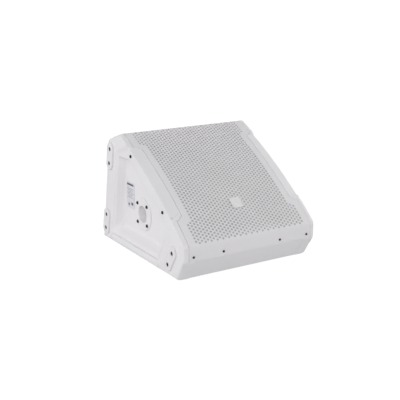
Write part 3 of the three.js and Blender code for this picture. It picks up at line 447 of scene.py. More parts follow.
def chin():
    """A strip along the front bottom that brings the cabinet flush with the side panels' chamfer."""
    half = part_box("cabinet_shell")[1].x / MM - 0.1
    slope = (FRONT_BOTTOM - LIP_CORNER) / np.hypot(*(FRONT_BOTTOM - LIP_CORNER))
    out = np.array([slope[1], -slope[0]])
    top, foot = LIP_CORNER - 0.4 * out, FRONT_BOTTOM - 0.4 * out
    round_top = [top + 2.2 * slope, top + 1.0 * slope - 0.15 * out, top + 0.2 * slope - 0.7 * out,
                 top - 0.2 * slope - 1.6 * out]
    inside = [(-176.5, 46.2), (-176.5, 44.0), (-150.0, 5.0), (-135.0, 4.3), (-138.5, 1.2)]
    round_foot = [foot + (1.5, 0.0), foot + (0.5, 0.1), foot - 0.5 * slope + (0.1, 0.06), foot - 1.5 * slope]
    rings = [[(x, y, z) for y, z in round_top + inside + round_foot] for x in (half, -half)]
    shown("front_chin", loops(rings), 30, PAINTED, "cabinet", "white_cabinet")


# ---- the perforated grille ---------------------------------------


def front_line(s):
    """The grille's outer face at a length: below 0 behind the apex, past the chord down the lip."""
    back = (REAR_TOP - APEX) / np.linalg.norm(REAR_TOP - APEX)

    def sharp(t):
        if t < 0:
            return APEX - back * t
        if t <= CHORD:
            return on_chord(t, rise(t))
        return FOLD - np.array([0.0, t - CHORD])

    for corner, reach in ((0.0, 2.2), (CHORD, 4.5)):
        if abs(s - corner) < reach:
            u = (s - corner + reach) / (2 * reach)
            a, b, c = sharp(corner - reach), sharp(corner), sharp(corner + reach)
            return a * (1 - u) ** 2 + 2 * b * u * (1 - u) + c * u * u
    return sharp(s)


def front_normal(s):
    """The way out of the grille's face at a length, in Y and Z."""
    step = front_line(s + 0.2) - front_line(s - 0.2)
    step /= np.linalg.norm(step)
    return np.array([step[1], -step[0]])


def grille_half(s):
    """Half of the grille's width at a length along it."""
    widths = (GRILLE_WIDE, GRILLE_NARROW, GRILLE_NARROW, GRILLE_WIDE)
    return float(np.interp(s, GRILLE_NECK, widths))


def field_half(s):
    """Half of the perforated field's width at a length along the slope."""
    return float(np.interp(s, [f[0] for f in FIELD], [f[1] for f in FIELD]))


def is_hole(x, s):
    """Whether a place in the pattern lies whole in the perforated field."""
    in_length = FIELD[0][0] < s - HOLE_RADIUS and s + HOLE_RADIUS < FIELD[-1][0]
    return in_length and abs(x) + HOLE_RADIUS < field_half(s)


def perforated_grille():
    """The bent sheet with its holes, made flat as one triangulation and then laid on the front's line."""
    start, end = -GRILLE_RETURN + 0.2, CHORD + FOLD[1] - LIP_END
    stations = sorted(set([start, end] + [round(v, 3) for v in np.arange(start, end, 3.0)]
                          + [-2.2, -1.1, 0.0, 1.1, 2.2] + list(GRILLE_NECK)
                          + [CHORD + d for d in (-4.5, -2.7, -0.9, 0.9, 2.7, 4.5)]))
    right = [(grille_half(s), s) for s in stations]
    across_low = [(x, end) for x in np.arange(GRILLE_WIDE - 5, -GRILLE_WIDE + 4, -6.0)]
    across_high = [(x, start) for x in np.arange(-GRILLE_WIDE + 5, GRILLE_WIDE - 4, 6.0)]
    outline = right + across_low + [(-x, s) for x, s in reversed(right)] + across_high
    points = [Vector(p) for p in outline]
    edges = [(i, (i + 1) % len(outline)) for i in range(len(outline))]

    # Rows of holes in straight columns down the slope, each column half a pitch from the next.
    centres, spare = [], []
    for c in range(-22, 23):
        for r in range(-4, 60):
            x, s = c * HOLE_COLUMN, (r + (c % 2) / 2) * HOLE_PITCH + HOLE_START
            if start + 2 < s < end - 2 and abs(x) < grille_half(s) - 2:
                (centres if is_hole(x, s) else spare).append((x, s))
    for x, s in centres:
        first = len(points)
        for k in range(HOLE_SIDES):
            turn = 2 * math.pi * (k + 0.5) / HOLE_SIDES
            points.append(Vector((x + HOLE_RADIUS * math.cos(turn), s + HOLE_RADIUS * math.sin(turn))))
            edges.append((first + k, first + (k + 1) % HOLE_SIDES))
    points += [Vector(p) for p in spare]
    face = list(range(len(outline)))
    verts, _, tris, _, _, _ = delaunay_2d_cdt(points, edges, [face], 1, 1e-4)
    flat = np.array([tuple(v) for v in verts])
    tris = np.array([tuple(t) for t in tris])
    middle = flat[tris].mean(axis=1)
    near = np.round(middle[:, 0] / HOLE_COLUMN).astype(int)
    keep = np.ones(len(tris), bool)
    for shift in (-1, 0, 1):
        c = near + shift
        x = c * HOLE_COLUMN
        offset = (c % 2) / 2 * HOLE_PITCH + HOLE_START
        s = np.round((middle[:, 1] - offset) / HOLE_PITCH) * HOLE_PITCH + offset
        inside = np.hypot(middle[:, 0] - x, middle[:, 1] - s) < HOLE_RADIUS * 0.985
        real = np.array([is_hole(a, b) for a, b in zip(x, s)])
        keep &= ~(inside & real)
    tris = tris[keep]

    line = {}

    def section(s):
        key = round(float(s), 3)
        if key not in line:
            line[key] = (front_line(key), front_normal(key))
        return line[key]

    screws = [(x, CHORD + FOLD[1] - LIP_SCREW_HEIGHT) for x in LIP_SCREWS]
    front, back = [], []
    for x, s in flat:
        (y, z), (ny, nz) = section(s)
        dimple = sum(math.exp(-((x - a) ** 2 + (s - b) ** 2) / 30.0) for a, b in screws) * 0.35
        front.append((x, y - ny * dimple, z - nz * dimple))
        back.append((x, y - ny * GRILLE_THICK, z - nz * GRILLE_THICK))
    count = len(flat)
    faces = [tuple(t) for t in tris] + [tuple(i + count for i in t[::-1]) for t in tris]
    used = {}
    for a, b, c in tris:
        for u, v in ((a, b), (b, c), (c, a)):
            used[(u, v)] = used.get((u, v), 0) + 1
    for (u, v) in used:
        if (v, u) not in used:
            faces.append((v, u, u + count, v + count))
    shown("perforated_grille", (front + back, faces), 40, POWDER, "cabinet", "white_grille", "front_grille")


def foam_sheet():
    """The foam: thick over the cabinet's opening, and a thin skin over the boards' edges."""
    open_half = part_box("grille_foam")[1].x / MM
    over_boards, over_room = (GRILLE_THICK + 0.1, 0.5), (GRILLE_THICK + GAP, 3.0)
    along = np.linspace(2.0, CHORD - 2.0, 110)
    across = np.linspace(-FOAM_HALF, FOAM_HALF, 90)
    rows, cols = len(along), len(across)
    points = []
    for side in (0, 1):
        for s in along:
            for x in across:
                inside = min(s - FOAM_ROOM, CHORD - FOAM_ROOM - s, open_half - abs(x))
                room = float(ease((inside + 1.0) / 3.0))
                top = over_boards[0] + (over_room[0] - over_boards[0]) * room
                thick = over_boards[1] + (over_room[1] - over_boards[1]) * room
                wave = 0.12 * math.sin(s * 0.71 + 1.3 * math.sin(x * 0.37)) * math.sin(x * 0.83)
                depth = top + (room * (0.15 + abs(wave)) if side == 0 else thick)
                points.append((x, *on_chord(s, rise(s) - depth)))
    at = np.arange(2 * rows * cols).reshape(2, rows, cols)
    faces = []
    for side in (0, 1):
        for i in range(rows - 1):
            for j in range(cols - 1):
                quad = (at[side, i, j], at[side, i, j + 1], at[side, i + 1, j + 1], at[side, i + 1, j])
                faces.append(quad if side == 0 else quad[::-1])
    rim = ([(0, j) for j in range(cols)] + [(i, cols - 1) for i in range(1, rows)]
           + [(rows - 1, j) for j in range(cols - 2, -1, -1)] + [(i, 0) for i in range(rows - 2, 0, -1)])
    for (a, b), (c, d) in zip(rim, rim[1:] + rim[:1]):
        faces.append((at[0, c, d], at[0, a, b], at[1, a, b], at[1, c, d]))
    faces = [tuple(int(i) for i in face) for face in faces]
    foam = shown("acoustic_foam", (points, faces), 60, FOAM, "cabinet", "grille_foam", "grille_foam")


# ---- side panels -------------------------------------------------


def reach_to(points, outline, but=None):
    """Each point's distance to the nearest stretch of an outline."""
    nearest = np.full(len(points), np.inf)
    for i, start in enumerate(outline):
        if i == but:
            continue
        a, b = np.array(start), np.array(outline[(i + 1) % len(outline)])
        along = np.clip((points - a) @ (b - a) / ((b - a) @ (b - a)), 0, 1)
        nearest = np.minimum(nearest, np.hypot(*(points - a - along[:, None] * (b - a)).T))
    return nearest


def within(points, starts, ends):
    """Which points lie inside the closed outlines that the stretches make, by counting crossings."""
    crossings = np.zeros(len(points), int)
    for (ay, az), (by, bz) in zip(starts, ends):
        if az == bz:
            continue
        spans = (points[:, 1] < az) != (points[:, 1] < bz)
        meets = ay + (points[:, 1] - az) * (by - ay) / (bz - az)
        crossings += spans & (points[:, 0] < meets)
    return crossings % 2 == 1


def mouth_distances(points):
    """Signed distance of each point to each of the mouth's stretches, above 0 inside."""
    rows = []
    for i, start in enumerate(MOUTH):
        a, b = np.array(start), np.array(MOUTH[(i + 1) % len(MOUTH)])
        way = (b - a) / np.linalg.norm(b - a)
        rows.append((points[:, 0] - a[0]) * way[1] - (points[:, 1] - a[1]) * way[0])
    return rows


def panel_depth(points):
    """How deep a side panel's face lies below its rim: a soft step, a groove and the pocket's walls."""
    to_rim = reach_to(points, RIM, OPEN_STRETCH)
    to_ledge = reach_to(points, LEDGE, OPEN_STRETCH)
    on_ledge = within(points, LEDGE, LEDGE[1:] + LEDGE[:1])
    ledge = np.where(on_ledge, 1.0, to_rim / (to_rim + to_ledge + 1e-9))
    low = np.exp(-(np.maximum(points[:, 1] - GROOVE[1], 0.0) / 16.0) ** 2)
    ledge = ease(ledge) * (LEDGE_DEPTH - 2.0 * low)
    pocket = np.ones(len(points))
    for inside, run in zip(mouth_distances(points), WALL_RUN):
        pocket *= ease(inside / run)
    across = ease((points[:, 1] - GROOVE[0]) / 0.3 + 0.5) * ease((GROOVE[1] - points[:, 1]) / 0.3 + 0.5)
    ends = ease((points[:, 0] - RIM[1][0]) / 1.5) * ease((RIM[0][0] - 3.0 - points[:, 0]) / 1.5)
    groove = GROOVE_DEPTH * across * ends
    return np.maximum(ledge + (POCKET_DEPTH - ledge) * pocket, groove)


def panel_points():
    """Where the panel's face is sampled: an even field with closer rows along its edges."""
    rows = []
    for outline, offsets, but in ((RIM, (0.5, 1.0, 1.6, 2.3, 3.2, 4.4), OPEN_STRETCH),
                                  (MOUTH, (-0.6, 0.4, 0.9, 1.5, 2.2, 3.0, 4.0, 5.2, 6.6, 8.0, 9.6), None)):
        for i, start in enumerate(outline):
            if i == but:
                continue
            a, b = np.array(start), np.array(outline[(i + 1) % len(outline)])
            long = np.linalg.norm(b - a)
            way = (b - a) / long
            inward = np.array([way[1], -way[0]])
            for k, offset in enumerate(offsets):
                for t in np.arange(0.75 * (k % 2) - 3, long + 3, 2.6):
                    rows.append(a + way * t + inward * offset)
    for k, z in enumerate((-0.15, 0.15, 0.6, 1.05, 1.35, 1.9, 2.6)):
        first = RIM[1][0] - 2.0 + 0.9 * (k % 2)
        rows += [np.array([y, GROOVE[0] + z]) for y in np.arange(first, RIM[0][0], 2.4)]
    for row, z in enumerate(np.arange(18.0, 262.0, 2.4)):
        rows += [np.array([y, z]) for y in np.arange(-176.0 + 1.4 * (row % 2), 140.0, 2.8)]
    kept, taken = [], set()
    for p in rows:
        cell = (round(p[0] / 0.28), round(p[1] / 0.28))
        if not any((cell[0] + i, cell[1] + j) in taken for i in (-1, 0, 1) for j in (-1, 0, 1)):
            taken.add(cell)
            kept.append(p)
    return np.array(kept)


def pocket_faces(bm, sign):
    """The faces of a panel inside its rim, found by spreading from the pocket's floor."""
    def belongs(face):
        n = face.normal
        slopes_out = n.y * OUT[0] + n.z * OUT[1]
        below_rim = abs(face.calc_center_median().x) < (PANEL_OUTER - 0.02) * MM
        return n.x * sign > 0.25 and slopes_out < 0.75 and below_rim

    floor_at = (PANEL_OUTER - POCKET_DEPTH) * MM
    found = {f for f in bm.faces if f.normal.x * sign > 0.99
             and abs(f.calc_center_median().x * sign - floor_at) < 0.00005}
    fresh = list(found)
    while fresh:
        for edge in fresh.pop().edges:
            for face in edge.link_faces:
                if face not in found and belongs(face):
                    found.add(face)
                    fresh.append(face)
    return found


def plain(face):
    """Whether a face lies square to X, or runs along it and is a simple one."""
    return abs(face.normal.x) > 0.999 or abs(face.normal.x) < 0.05 and len(face.verts) < 5


def side_panel(side):
    """A moulded panel: its solid with rounded edges, and a finely modelled face inside its rim."""
    sign = -1 if side == "left" else 1
    bm = copied(f"side_panel_{side}")
    bmesh.ops.recalc_face_normals(bm, faces=bm.faces)
    inside = pocket_faces(bm, sign)
    for face in bm.faces:
        face.material_index = 1 if face in inside else 0
    kept_sharp = set()
    for edge in bm.edges:
        ours = [f for f in edge.link_faces if f in inside]
        others = [f for f in edge.link_faces if f not in inside]
        if ours and all(plain(f) for f in others):
            kept_sharp.add(edge)
    round_corner(bm, FOLD, 5.5, 7, 7.0)
    round_corner(bm, LIP_CORNER, 2.5, 4, 5.0)
    round_edges(bm, 1.1, 3, but=kept_sharp)

    inside = [f for f in bm.faces if f.material_index == 1]
    edges = {e for f in inside for e in f.edges if any(g.material_index == 0 for g in e.link_faces)}
    # The border is cut short, the coarse face inside it goes, and a fine one is sewn in along it.
    for edge in list(edges):
        cuts = int(edge.calc_length() / (2.6 * MM))
        if cuts:
            made = bmesh.ops.subdivide_edges(bm, edges=[edge], cuts=cuts)
            edges |= {e for e in made["geom_inner"] if isinstance(e, bmesh.types.BMEdge)}
            edges |= {e for e in made["geom_split"] if isinstance(e, bmesh.types.BMEdge)}
    bmesh.ops.delete(bm, geom=[f for f in bm.faces if f.material_index == 1], context="FACES_ONLY")
    loose = [e for e in bm.edges if not e.link_faces]
    bmesh.ops.delete(bm, geom=loose, context="EDGES")
    rim = [e for e in bm.edges if len(e.link_faces) == 1]

    corners = list({v for e in rim for v in e.verts})
    order = {v: i for i, v in enumerate(corners)}
    fixed = np.array([(v.co.y / MM, v.co.z / MM) for v in corners])
    ends = [(order[e.verts[0]], order[e.verts[1]]) for e in rim]
    starts_at, ends_at = fixed[[a for a, b in ends]], fixed[[b for a, b in ends]]
    free = panel_points()
    free = free[within(free, starts_at, ends_at)]
    near = np.full(len(free), np.inf)
    for a, b in zip(starts_at, ends_at):
        along = np.clip((free - a) @ (b - a) / max((b - a) @ (b - a), 1e-9), 0, 1)
        near = np.minimum(near, np.hypot(*(free - a - along[:, None] * (b - a)).T))
    free = free[near > 0.3]
    points = [Vector(p) for p in fixed] + [Vector(p) for p in free]
    flat, _, tris, origin, _, _ = delaunay_2d_cdt(points, ends, [], 0, 1e-5)
    flat = np.array([tuple(p) for p in flat])
    depth = panel_depth(flat)
    verts = []
    for i, (y, z) in enumerate(flat):
        if origin[i] and origin[i][0] < len(corners):
            verts.append(corners[origin[i][0]])
        else:
            verts.append(bm.verts.new((sign * (PANEL_OUTER - depth[i]) * MM, y * MM, z * MM)))
    tris = np.array([tuple(t) for t in tris if len(t) == 3])
    tris = tris[within(flat[tris].mean(axis=1), starts_at, ends_at)]
    for tri in tris:
        if len({verts[i] for i in tri}) == 3:
            bm.faces.new([verts[i] for i in tri])
    bmesh.ops.delete(bm, geom=[v for v in bm.verts if not v.link_faces], context="VERTS")
    settled(bm, f"panel_{side}", MOULDED, "cabinet", "white_moulding", f"side_panel_{side}")


# ---- side pads, pole socket, feet and plates ---------------------


def stadium(radius, half, z):
    """A ring of two half circles and the straight sides between them."""
    count = 14
    ring = []
    for end, sign in ((0, 1), (1, -1)):
        for i in range(count + 1):
            turn = (end + i / count) * math.pi
            ring.append((radius * math.cos(turn), sign * half + radius * math.sin(turn), z))
    return ring


def side_pad(side, place):
    """A raised pad with a soft edge and two wells, each with a screw sunk in it."""
    y, z, lean = PADS[place]
    sign = -1 if side == "left" else 1
    half = (PAD_LENGTH - PAD_WIDTH) / 2
    radius = PAD_WIDTH / 2
    edge = ((0.0, PAD_RISE - 1.0), (0.12, PAD_RISE - 0.6), (0.4, PAD_RISE - 0.2), (0.9, PAD_RISE))
    rings = [stadium(radius, half, GAP)] + [stadium(radius - inset, half, z) for inset, z in edge]
    points, faces = loops(rings, cap_last=False)
    top = len(points) - len(rings[0])
    wells, count = [], 28
    for way in (-1, 1):
        for size, depth in PAD_WELL:
            wells.append(len(points))
            for i in range(count):
                turn = 2 * math.pi * i / count
                up = way * PAD_SCREWS + size * math.sin(turn)
                points.append((size * math.cos(turn), up, PAD_RISE + depth))
        for low, high in ((wells[-3], wells[-2]), (wells[-2], wells[-1])):
            for i in range(count):
                j = (i + 1) % count
                faces.append((low + i, low + j, high + j, high + i))
        faces.append(tuple(wells[-1] + i for i in range(count)))
    outer = list(range(top, top + len(rings[0])))
    mouths = [[first + i for i in range(count)] for first in (wells[0], wells[3])]
    flat = [Vector(points[i][:2]) for i in outer + mouths[0] + mouths[1]]
    index = outer + mouths[0] + mouths[1]
    edges, start = [], 0
    for ring in (outer, *mouths):
        edges += [(start + i, start + (i + 1) % len(ring)) for i in range(len(ring))]
        start += len(ring)
    _, _, tris, _, _, _ = delaunay_2d_cdt(flat, edges, [list(range(len(outer)))], 1, 1e-5)
    for tri in tris:
        mx = sum(flat[i].x for i in tri) / 3
        my = sum(flat[i].y for i in tri) / 3
        if min(math.hypot(mx, my - PAD_SCREWS), math.hypot(mx, my + PAD_SCREWS)) > PAD_WELL[0][0] - 0.1:
            faces.append(tuple(index[i] for i in tri))
    matrix = facing((sign, 0, 0), (sign * PANEL_OUTER, y, z)) @ Matrix.Rotation(lean * sign, 4, "Z")
    shown(f"pad_{side}_{place}", placed((points, faces), matrix), 30, PAD, "cabinet", "pad_plastic",
          f"side_pad_{side}_{place}")
    for i, way in enumerate((-1, 1), 1):
        at = matrix @ Vector((0.0, way * PAD_SCREWS, PAD_RISE - 1.95))
        screw(f"pad_screw_{side}_{place}_{i}", None, at, (sign, 0, 0), PAD_HEAD, "hex", 0.4 * i + lean)


def pole_flange():
    """The pole socket: a round flange with a rolled lip and a blind cup, and its four screws."""
    floor, bore, rim = 2.5 - CUP_DEPTH, POLE_BORE, POLE_FLANGE
    cup = [(0.0, floor), (bore - 0.6, floor), (bore, floor + 0.6), (bore, 1.1)]
    lip = [(bore + 0.3, 1.9), (bore + 1.0, 2.4), (bore + 2.0, 2.5), (bore + 3.4, 2.5), (bore + 3.9, 2.1)]
    edge = [(rim - 3.2, 2.1), (rim - 2.6, 2.5), (rim - 1.2, 2.5), (rim - 0.4, 2.2), (rim, 1.5), (rim, 0.0)]
    outside = [(CUP_RADIUS, 0.0), (CUP_RADIUS, -CUP_DEPTH), (0.0, -CUP_DEPTH)]
    face = PANEL_OUTER - POCKET_DEPTH + GAP
    matrix = facing((-1, 0, 0), (-face, *POLE_CENTRE))
    shape = placed(lathe(cup + lip + edge + outside, 72), matrix)
    shown("pole_socket_moulding", shape, 25, MOULDED, "cabinet", "white_moulding", "pole_socket")
    number = 0
    for y in (-1, 1):
        for z in (-1, 1):
            number += 1
            at = (-(face + 2.5), POLE_CENTRE[0] + y * POLE_SCREW_HALF, POLE_CENTRE[1] + z * POLE_SCREW_HALF)
            screw(f"pole_screw_{number}", f"pole_socket_screw_{number}", at, (-1, 0, 0), POLE_HEAD, "hex",
                  0.5 * number)


def rounded_square(width, height, radius, z, inset=0.0):
    """A ring with round corners, drawn in from its full size by the inset."""
    steps = 7
    ring = []
    w, h, r = width / 2 - inset, height / 2 - inset, max(radius - inset, 0.3)
    for corner, (cx, cy) in enumerate(((w - r, h - r), (-w + r, h - r), (-w + r, -h + r), (w - r, -h + r))):
        for i in range(steps + 1):
            turn = (corner + i / steps) * math.pi / 2
            ring.append((cx + r * math.cos(turn), cy + r * math.sin(turn), z))
    return ring


def badge():
    """A plain badge: a rounded square with a raised rim round a sunken, slightly crowned face."""
    lean = SLOPE + math.atan2(rise(BADGE_ALONG - 5) - rise(BADGE_ALONG + 5), 10)
    y, z = on_chord(BADGE_ALONG, rise(BADGE_ALONG) + 0.5)
    steps = ((0.0, 0.0), (1.4, 0.0), (2.1, 0.25), (2.45, 0.8), (2.45, 1.7), (2.0, 2.1), (2.15, 5.0),
             (2.25, 9.0))
    rings = [rounded_square(*BADGE_SIZE, 5, height, inset) for height, inset in steps]
    matrix = Matrix.Translation((0, y, z)) @ Matrix.Rotation(lean, 4, "X")
    shown("blank_badge", placed(loops(rings), matrix), 40, GLOSS, "cabinet", "gloss_white", "badge")


def rating_plate():
    """A film plate in the pocket, with a faint frame pressed into it and plain bars for its print."""
    x = -(PANEL_OUTER - POCKET_DEPTH + GAP)
    steps = ((0.0, 0.0), (0.6, 0.0), (0.8, 0.25), (0.8, 1.6), (0.62, 1.9), (0.62, 2.5), (0.8, 2.8))
    rings = [rounded_square(*PLATE_SIZE, 2, height, inset) for height, inset in steps]
    matrix = facing((-1, 0, 0), (x, *PLATE_CENTRE))
    shown("rating_plate", placed(loops(rings), matrix), 40, LABEL, "cabinet", "gloss_white", "blank_plate")
    # A bar along the top, rules of uneven length under it, and two blocks, each across, up, wide and tall.
    bars = [(0.0, 24.0, 29.0, 4.2)] + [(0.0, 15.0 - 3.4 * i, 29.0 - 5.0 * (i % 3), 0.6) for i in range(7)]
    bars += [(8.0, -18.0, 9.0, 6.0), (-7.0, -21.0, 5.0, 6.0)]
    shapes = []
    for across, up, wide, tall in bars:
        rings = [rounded_square(wide, tall, 0.25, 0.7), rounded_square(wide, tall, 0.25, 0.86)]
        shapes.append(placed(loops(rings), matrix @ Matrix.Translation((across, up, 0.0))))
    shown("plate_print", together(*shapes), 40, INK, "cabinet", "gloss_white")


def rubber_foot(number):
    """A turned foot with a ribbed underside and a recess in its middle."""
    low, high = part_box(f"rubber_foot_{number}")
    x, y = (low.x + high.x) / 2 / MM, (low.y + high.y) / 2 / MM
    recess = [(0.0, 2.2), (2.6, 2.2), (3.0, 0.6), (3.6, 0.0)]
    ribs = [(5.2, 0.0), (5.5, 0.4), (6.1, 0.4), (6.4, 0.0), (7.4, 0.0), (7.7, 0.4), (8.2, 0.4), (8.5, 0.0)]
    outside = [(9.1, 0.0), (9.6, 0.3), (10.0, 1.0), (10.0, 3.2), (9.7, 3.7), (0.0, 3.7)]
    shape = placed(lathe(recess + ribs + outside, 48), Matrix.Translation((x, y, 0)))
    shown(f"foot_{number}", shape, 30, RUBBER, "cabinet", "black_rubber", f"rubber_foot_{number}")


# ---- rear panel --------------------------------------------------

# From the tray's own X, Y and outward Z to the whole object's.
TRAY = (Matrix.Translation((0, REAR_CENTRE[0], REAR_CENTRE[1]))
        @ Matrix.Rotation(-math.pi / 2 + REAR_LEAN, 4, "X") @ Matrix.Rotation(math.pi, 4, "Z"))
TRAY_OUT = TRAY.to_3x3() @ Vector((0.0, 0.0, 1.0))
KNOBS = ((12.0, 32.0), (40.0, 32.0), (68.0, 32.0))
SOCKETS = {"input": (-66.0, 30.0), "link": (-28.0, 30.0)}
# Thin lines round the sockets, the knobs and the mains: two corners of each.
GROUPS = ((-84, 12, -9, 53), (-2, 16, 84, 53), (-80, -55, -1, -4))


def knob(number):
    """A fluted knob with a skirt and a pale pointer line."""
    x, y = KNOBS[number - 1]
    low = TRAY_FLOOR + 0.3
    count = 72

    def ring(radius, z, flute=0.0):
        made = []
        for i in range(count):
            turn = 2 * math.pi * i / count
            r = radius - flute * max(0.0, math.cos(18 * turn)) ** 0.5
            made.append((r * math.cos(turn), r * math.sin(turn), low + z))
        return made

    stem = [ring(2.9, -9.8), ring(2.9, 0.65)]
    skirt = [ring(7.6, 0.65), ring(8.0, 1.0), ring(8.0, 2.6), ring(7.6, 3.0)]
    grip = [ring(6.95, 3.2, 0.1), ring(6.85, 3.8, 0.45), ring(6.35, 11.6, 0.45), ring(6.0, 12.5, 0.15)]
    cap = [ring(5.5, 12.9), ring(4.9, 13.0), ring(4.5, 12.75)]
    matrix = TRAY @ Matrix.Translation((x, y, 0))
    shape = placed(loops(stem + skirt + grip + cap), matrix)
    shown(f"knob_{number}", shape, 40, BLACK, f"knob_{number}", "black_plastic", f"level_knob_{number}")
    line = loops([rounded_square(1.1, 5.4, 0.4, low + 12.5), rounded_square(1.1, 5.4, 0.4, low + 13.0),
                  rounded_square(1.1, 5.4, 0.4, low + 13.08, 0.15)])
    shape = placed(line, matrix @ Matrix.Translation((0, 3.1, 0)))
    shown(f"knob_pointer_{number}", shape, 40, MOULDED, f"knob_{number}", "white_moulding")


def printed_marks():
    """Dial ticks round each knob and a thin line round each group, as raised ink on the tray's floor."""
    z0, z1 = TRAY_FLOOR + 0.02, TRAY_FLOOR + 0.12
    shapes = []
    for x, y in KNOBS:
        for i in range(11):
            turn = math.radians(240 - 30 * i)
            long = 2.6 if i in (0, 5, 10) else 1.7
            tick = loops([rounded_square(long, 0.5, 0.2, z0), rounded_square(long, 0.5, 0.2, z1)])
            spin = Matrix.Translation((x, y, 0)) @ Matrix.Rotation(turn, 4, "Z")
            shapes.append(placed(tick, spin @ Matrix.Translation((10.6, 0, 0))))
    for x0, y0, x1, y1 in GROUPS:
        for ax, ay, bx, by in ((x0, y0, x1, y0), (x1, y0, x1, y1), (x1, y1, x0, y1), (x0, y1, x0, y0)):
            w, h = abs(bx - ax) + 0.4, abs(by - ay) + 0.4
            bar = loops([rounded_square(w, h, 0.15, z0), rounded_square(w, h, 0.15, z1)])
            shapes.append(placed(bar, Matrix.Translation(((ax + bx) / 2, (ay + by) / 2, 0))))
    shown("printed_marks", placed(together(*shapes), TRAY), 40, INK, "cabinet", "tray_metal")


def tray_screws():
    """The screws through the tray's flange, and two in each socket's corners."""
    number = 0
    for x in (-96.0, -32.0, 32.0, 96.0):
        for y in (-64.0, 64.0):
            number += 1
            at = TRAY @ Vector((x, y, -0.5))
            screw(f"tray_screw_{number}", None, at, TRAY_OUT, TRAY_HEAD, "cross", 0.7 * number)
    for name, (cx, cy) in SOCKETS.items():
        for i, (dx, dy) in enumerate(((-9.5, 12.0), (9.5, -12.0)), 1):
            at = TRAY @ Vector((cx + dx, cy + dy, TRAY_FLOOR + 2.3))
            screw(f"{name}_socket_screw_{i}", None, at, TRAY_OUT, SOCKET_HEAD, "cross", 0.9 * i)


# ---- the build ---------------------------------------------------

side_panel("left")
side_panel("right")
rounded("cabinet_shell", "cabinet", PAINTED, "cabinet", "white_cabinet", 1.2, 3)
chin()
perforated_grille()
foam_sheet()
badge()
rating_plate()
pole_flange()
for side in ("left", "right"):
    for place in PADS:
        side_pad(side, place)
for number in range(1, 5):
    rubber_foot(number)
for number, x in enumerate(LIP_SCREWS, 1):
    screw(f"lip_screw_{number}", f"grille_screw_{number}", (x, FOLD[0] - 0.3, LIP_SCREW_HEIGHT), (0, -1, 0),
          LIP_HEAD, "cross", 0.6 * number)
for side, sign in (("left", -1), ("right", 1)):
    for number, along in enumerate(LEDGE_SCREWS, 1):
        at = (sign * (PANEL_OUTER - LEDGE_DEPTH + GAP), *on_chord(along, -LEDGE_SCREW_DROP))
        screw(f"ledge_screw_{side}_{number}", f"panel_screw_{side}_{number}", at, (sign, 0, 0), LEDGE_HEAD,
              "hex", 0.3 * number)

rounded("amplifier_tray", "tray", PAINTED, "cabinet", "tray_metal", 0.5, 2)
rounded("heat_sink", "sink", BLASTED, "cabinet", "heat_sink", 0.3, 2)
rounded("input_socket", "input_connector", BLACK, "cabinet", "black_plastic", 0.4, 2)
rounded("link_socket", "link_connector", BLACK, "cabinet", "black_plastic", 0.4, 2)
rounded("input_latch", "connector_latch", PLATED, "latch", "latch_metal", 0.4, 2)
rounded("power_inlet", "mains_inlet", BLACK, "cabinet", "black_plastic", 0.4, 2)
rounded("fuse_drawer", "fuse_holder", BLACK, "fuse", "black_plastic", 0.4, 2)
rounded("rocker_frame", "switch_frame", BLACK, "cabinet", "black_plastic", 0.4, 2)
rounded("power_rocker", "switch_rocker", BLACK, "rocker", "black_plastic", 0.5, 3)
rounded("mode_button", "button", BLACK, "button", "black_plastic", 0.3, 2)
rounded("status_light", "light", LENS, "cabinet", "lens", 0.2, 2)
for number in (1, 2, 3):
    knob(number)
printed_marks()
tray_screws()

for node, material in (
        ("baffle_board", BOARD), ("woofer_basket", STEEL), ("woofer_magnet", FERRITE), ("voice_coil", COIL),
        ("woofer_cone", CONE), ("woofer_surround", CLOTH), ("woofer_spider", SPIDER),
        ("woofer_gasket", RUBBER), ("coaxial_horn", BLACK), ("compression_driver", CAST),
        ("port_tube_left", BLACK), ("port_tube_right", BLACK), ("amplifier_board", MASK),
        ("power_transformer", WINDING)):
    carried(node, material)

# ---- floor, light and camera -------------------------------------

FLOOR_RADIUS = 60000.0
SOFTBOX_SPREAD = 60.0                   # degrees

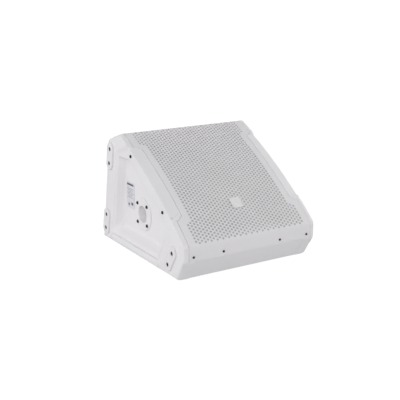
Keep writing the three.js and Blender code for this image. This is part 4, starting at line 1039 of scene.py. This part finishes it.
def floor_disc(name, albedo, glow, drop):
    """A wide flat disc with its own even glow, a little under the object."""
    mat = finish(name, (albedo, albedo, albedo), 0.9, grain=60, depth=0.01, tone=0.01, rough_spread=0.02)
    shader = mat.node_tree.nodes["Principled BSDF"]
    shader.inputs["Emission Color"].default_value = (1.0, 1.0, 1.0, 1.0)
    shader.inputs["Emission Strength"].default_value = glow
    mesh = mesh_of(name, *lathe([(0.0, 0.0), (FLOOR_RADIUS, 0.0)], 64), 35)
    mesh.materials.append(mat)
    disc = bpy.data.objects.new(name, mesh)
    bpy.context.scene.collection.objects.link(disc)
    disc.location.z = -drop * MM
    return disc


def stage():
    """A pale floor to look at, and a dimmer one under it that throws light back up at the object."""
    shown = floor_disc("floor", 0.14, 0.92, 0.5)
    shown.visible_diffuse = False
    shown.visible_glossy = False
    shown.visible_shadow = False
    bounce = floor_disc("bounce", 0.15, 0.43, 1.0)
    bounce.visible_camera = False


def soft_sun(name, towards, strength):
    """A broad even light from a direction, like a large softbox far away."""
    lamp = bpy.data.lights.new(name, "SUN")
    lamp.energy = strength
    lamp.angle = math.radians(SOFTBOX_SPREAD)
    obj = bpy.data.objects.new(name, lamp)
    obj.location = Vector(towards) * 2
    obj.rotation_euler = Vector(towards).to_track_quat("Z", "Y").to_euler()
    bpy.context.scene.collection.objects.link(obj)


def studio():
    """White surroundings and four softboxes, the strongest at the front left."""
    world = bpy.data.worlds.new("studio")
    bpy.context.scene.world = world
    world.use_nodes = True
    around = world.node_tree.nodes["Background"]
    around.inputs["Color"].default_value = (1.0, 1.0, 1.0, 1.0)
    around.inputs["Strength"].default_value = 0.4
    soft_sun("left_front_softbox", (-0.8, -0.6, 0.3), 1.25)
    soft_sun("left_back_softbox", (-0.8, 0.6, 0.15), 0.85)
    soft_sun("right_softbox", (1.0, 0.0, 0.3), 1.1)
    soft_sun("right_front_softbox", (0.7, -0.7, 0.3), 0.3)
    bpy.context.scene.view_settings.view_transform = "Standard"


def camera():
    """Looks from the front left and a little above, at the object's middle."""
    azimuth, elevation, distance = math.radians(-31.81), math.radians(15.69), 1.7885
    target = Vector((0.00094, 0.0219, 0.1011))
    back = Vector((math.sin(azimuth) * math.cos(elevation), -math.cos(azimuth) * math.cos(elevation),
                   math.sin(elevation)))
    cam = bpy.data.cameras.new("camera")
    cam.lens = 72.98
    cam.sensor_width = 36.0
    obj = bpy.data.objects.new("camera", cam)
    obj.location = target + back * distance
    obj.rotation_euler = (-back).to_track_quat("-Z", "Y").to_euler()
    bpy.context.scene.collection.objects.link(obj)
    bpy.context.scene.camera = obj


stage()
studio()
camera()
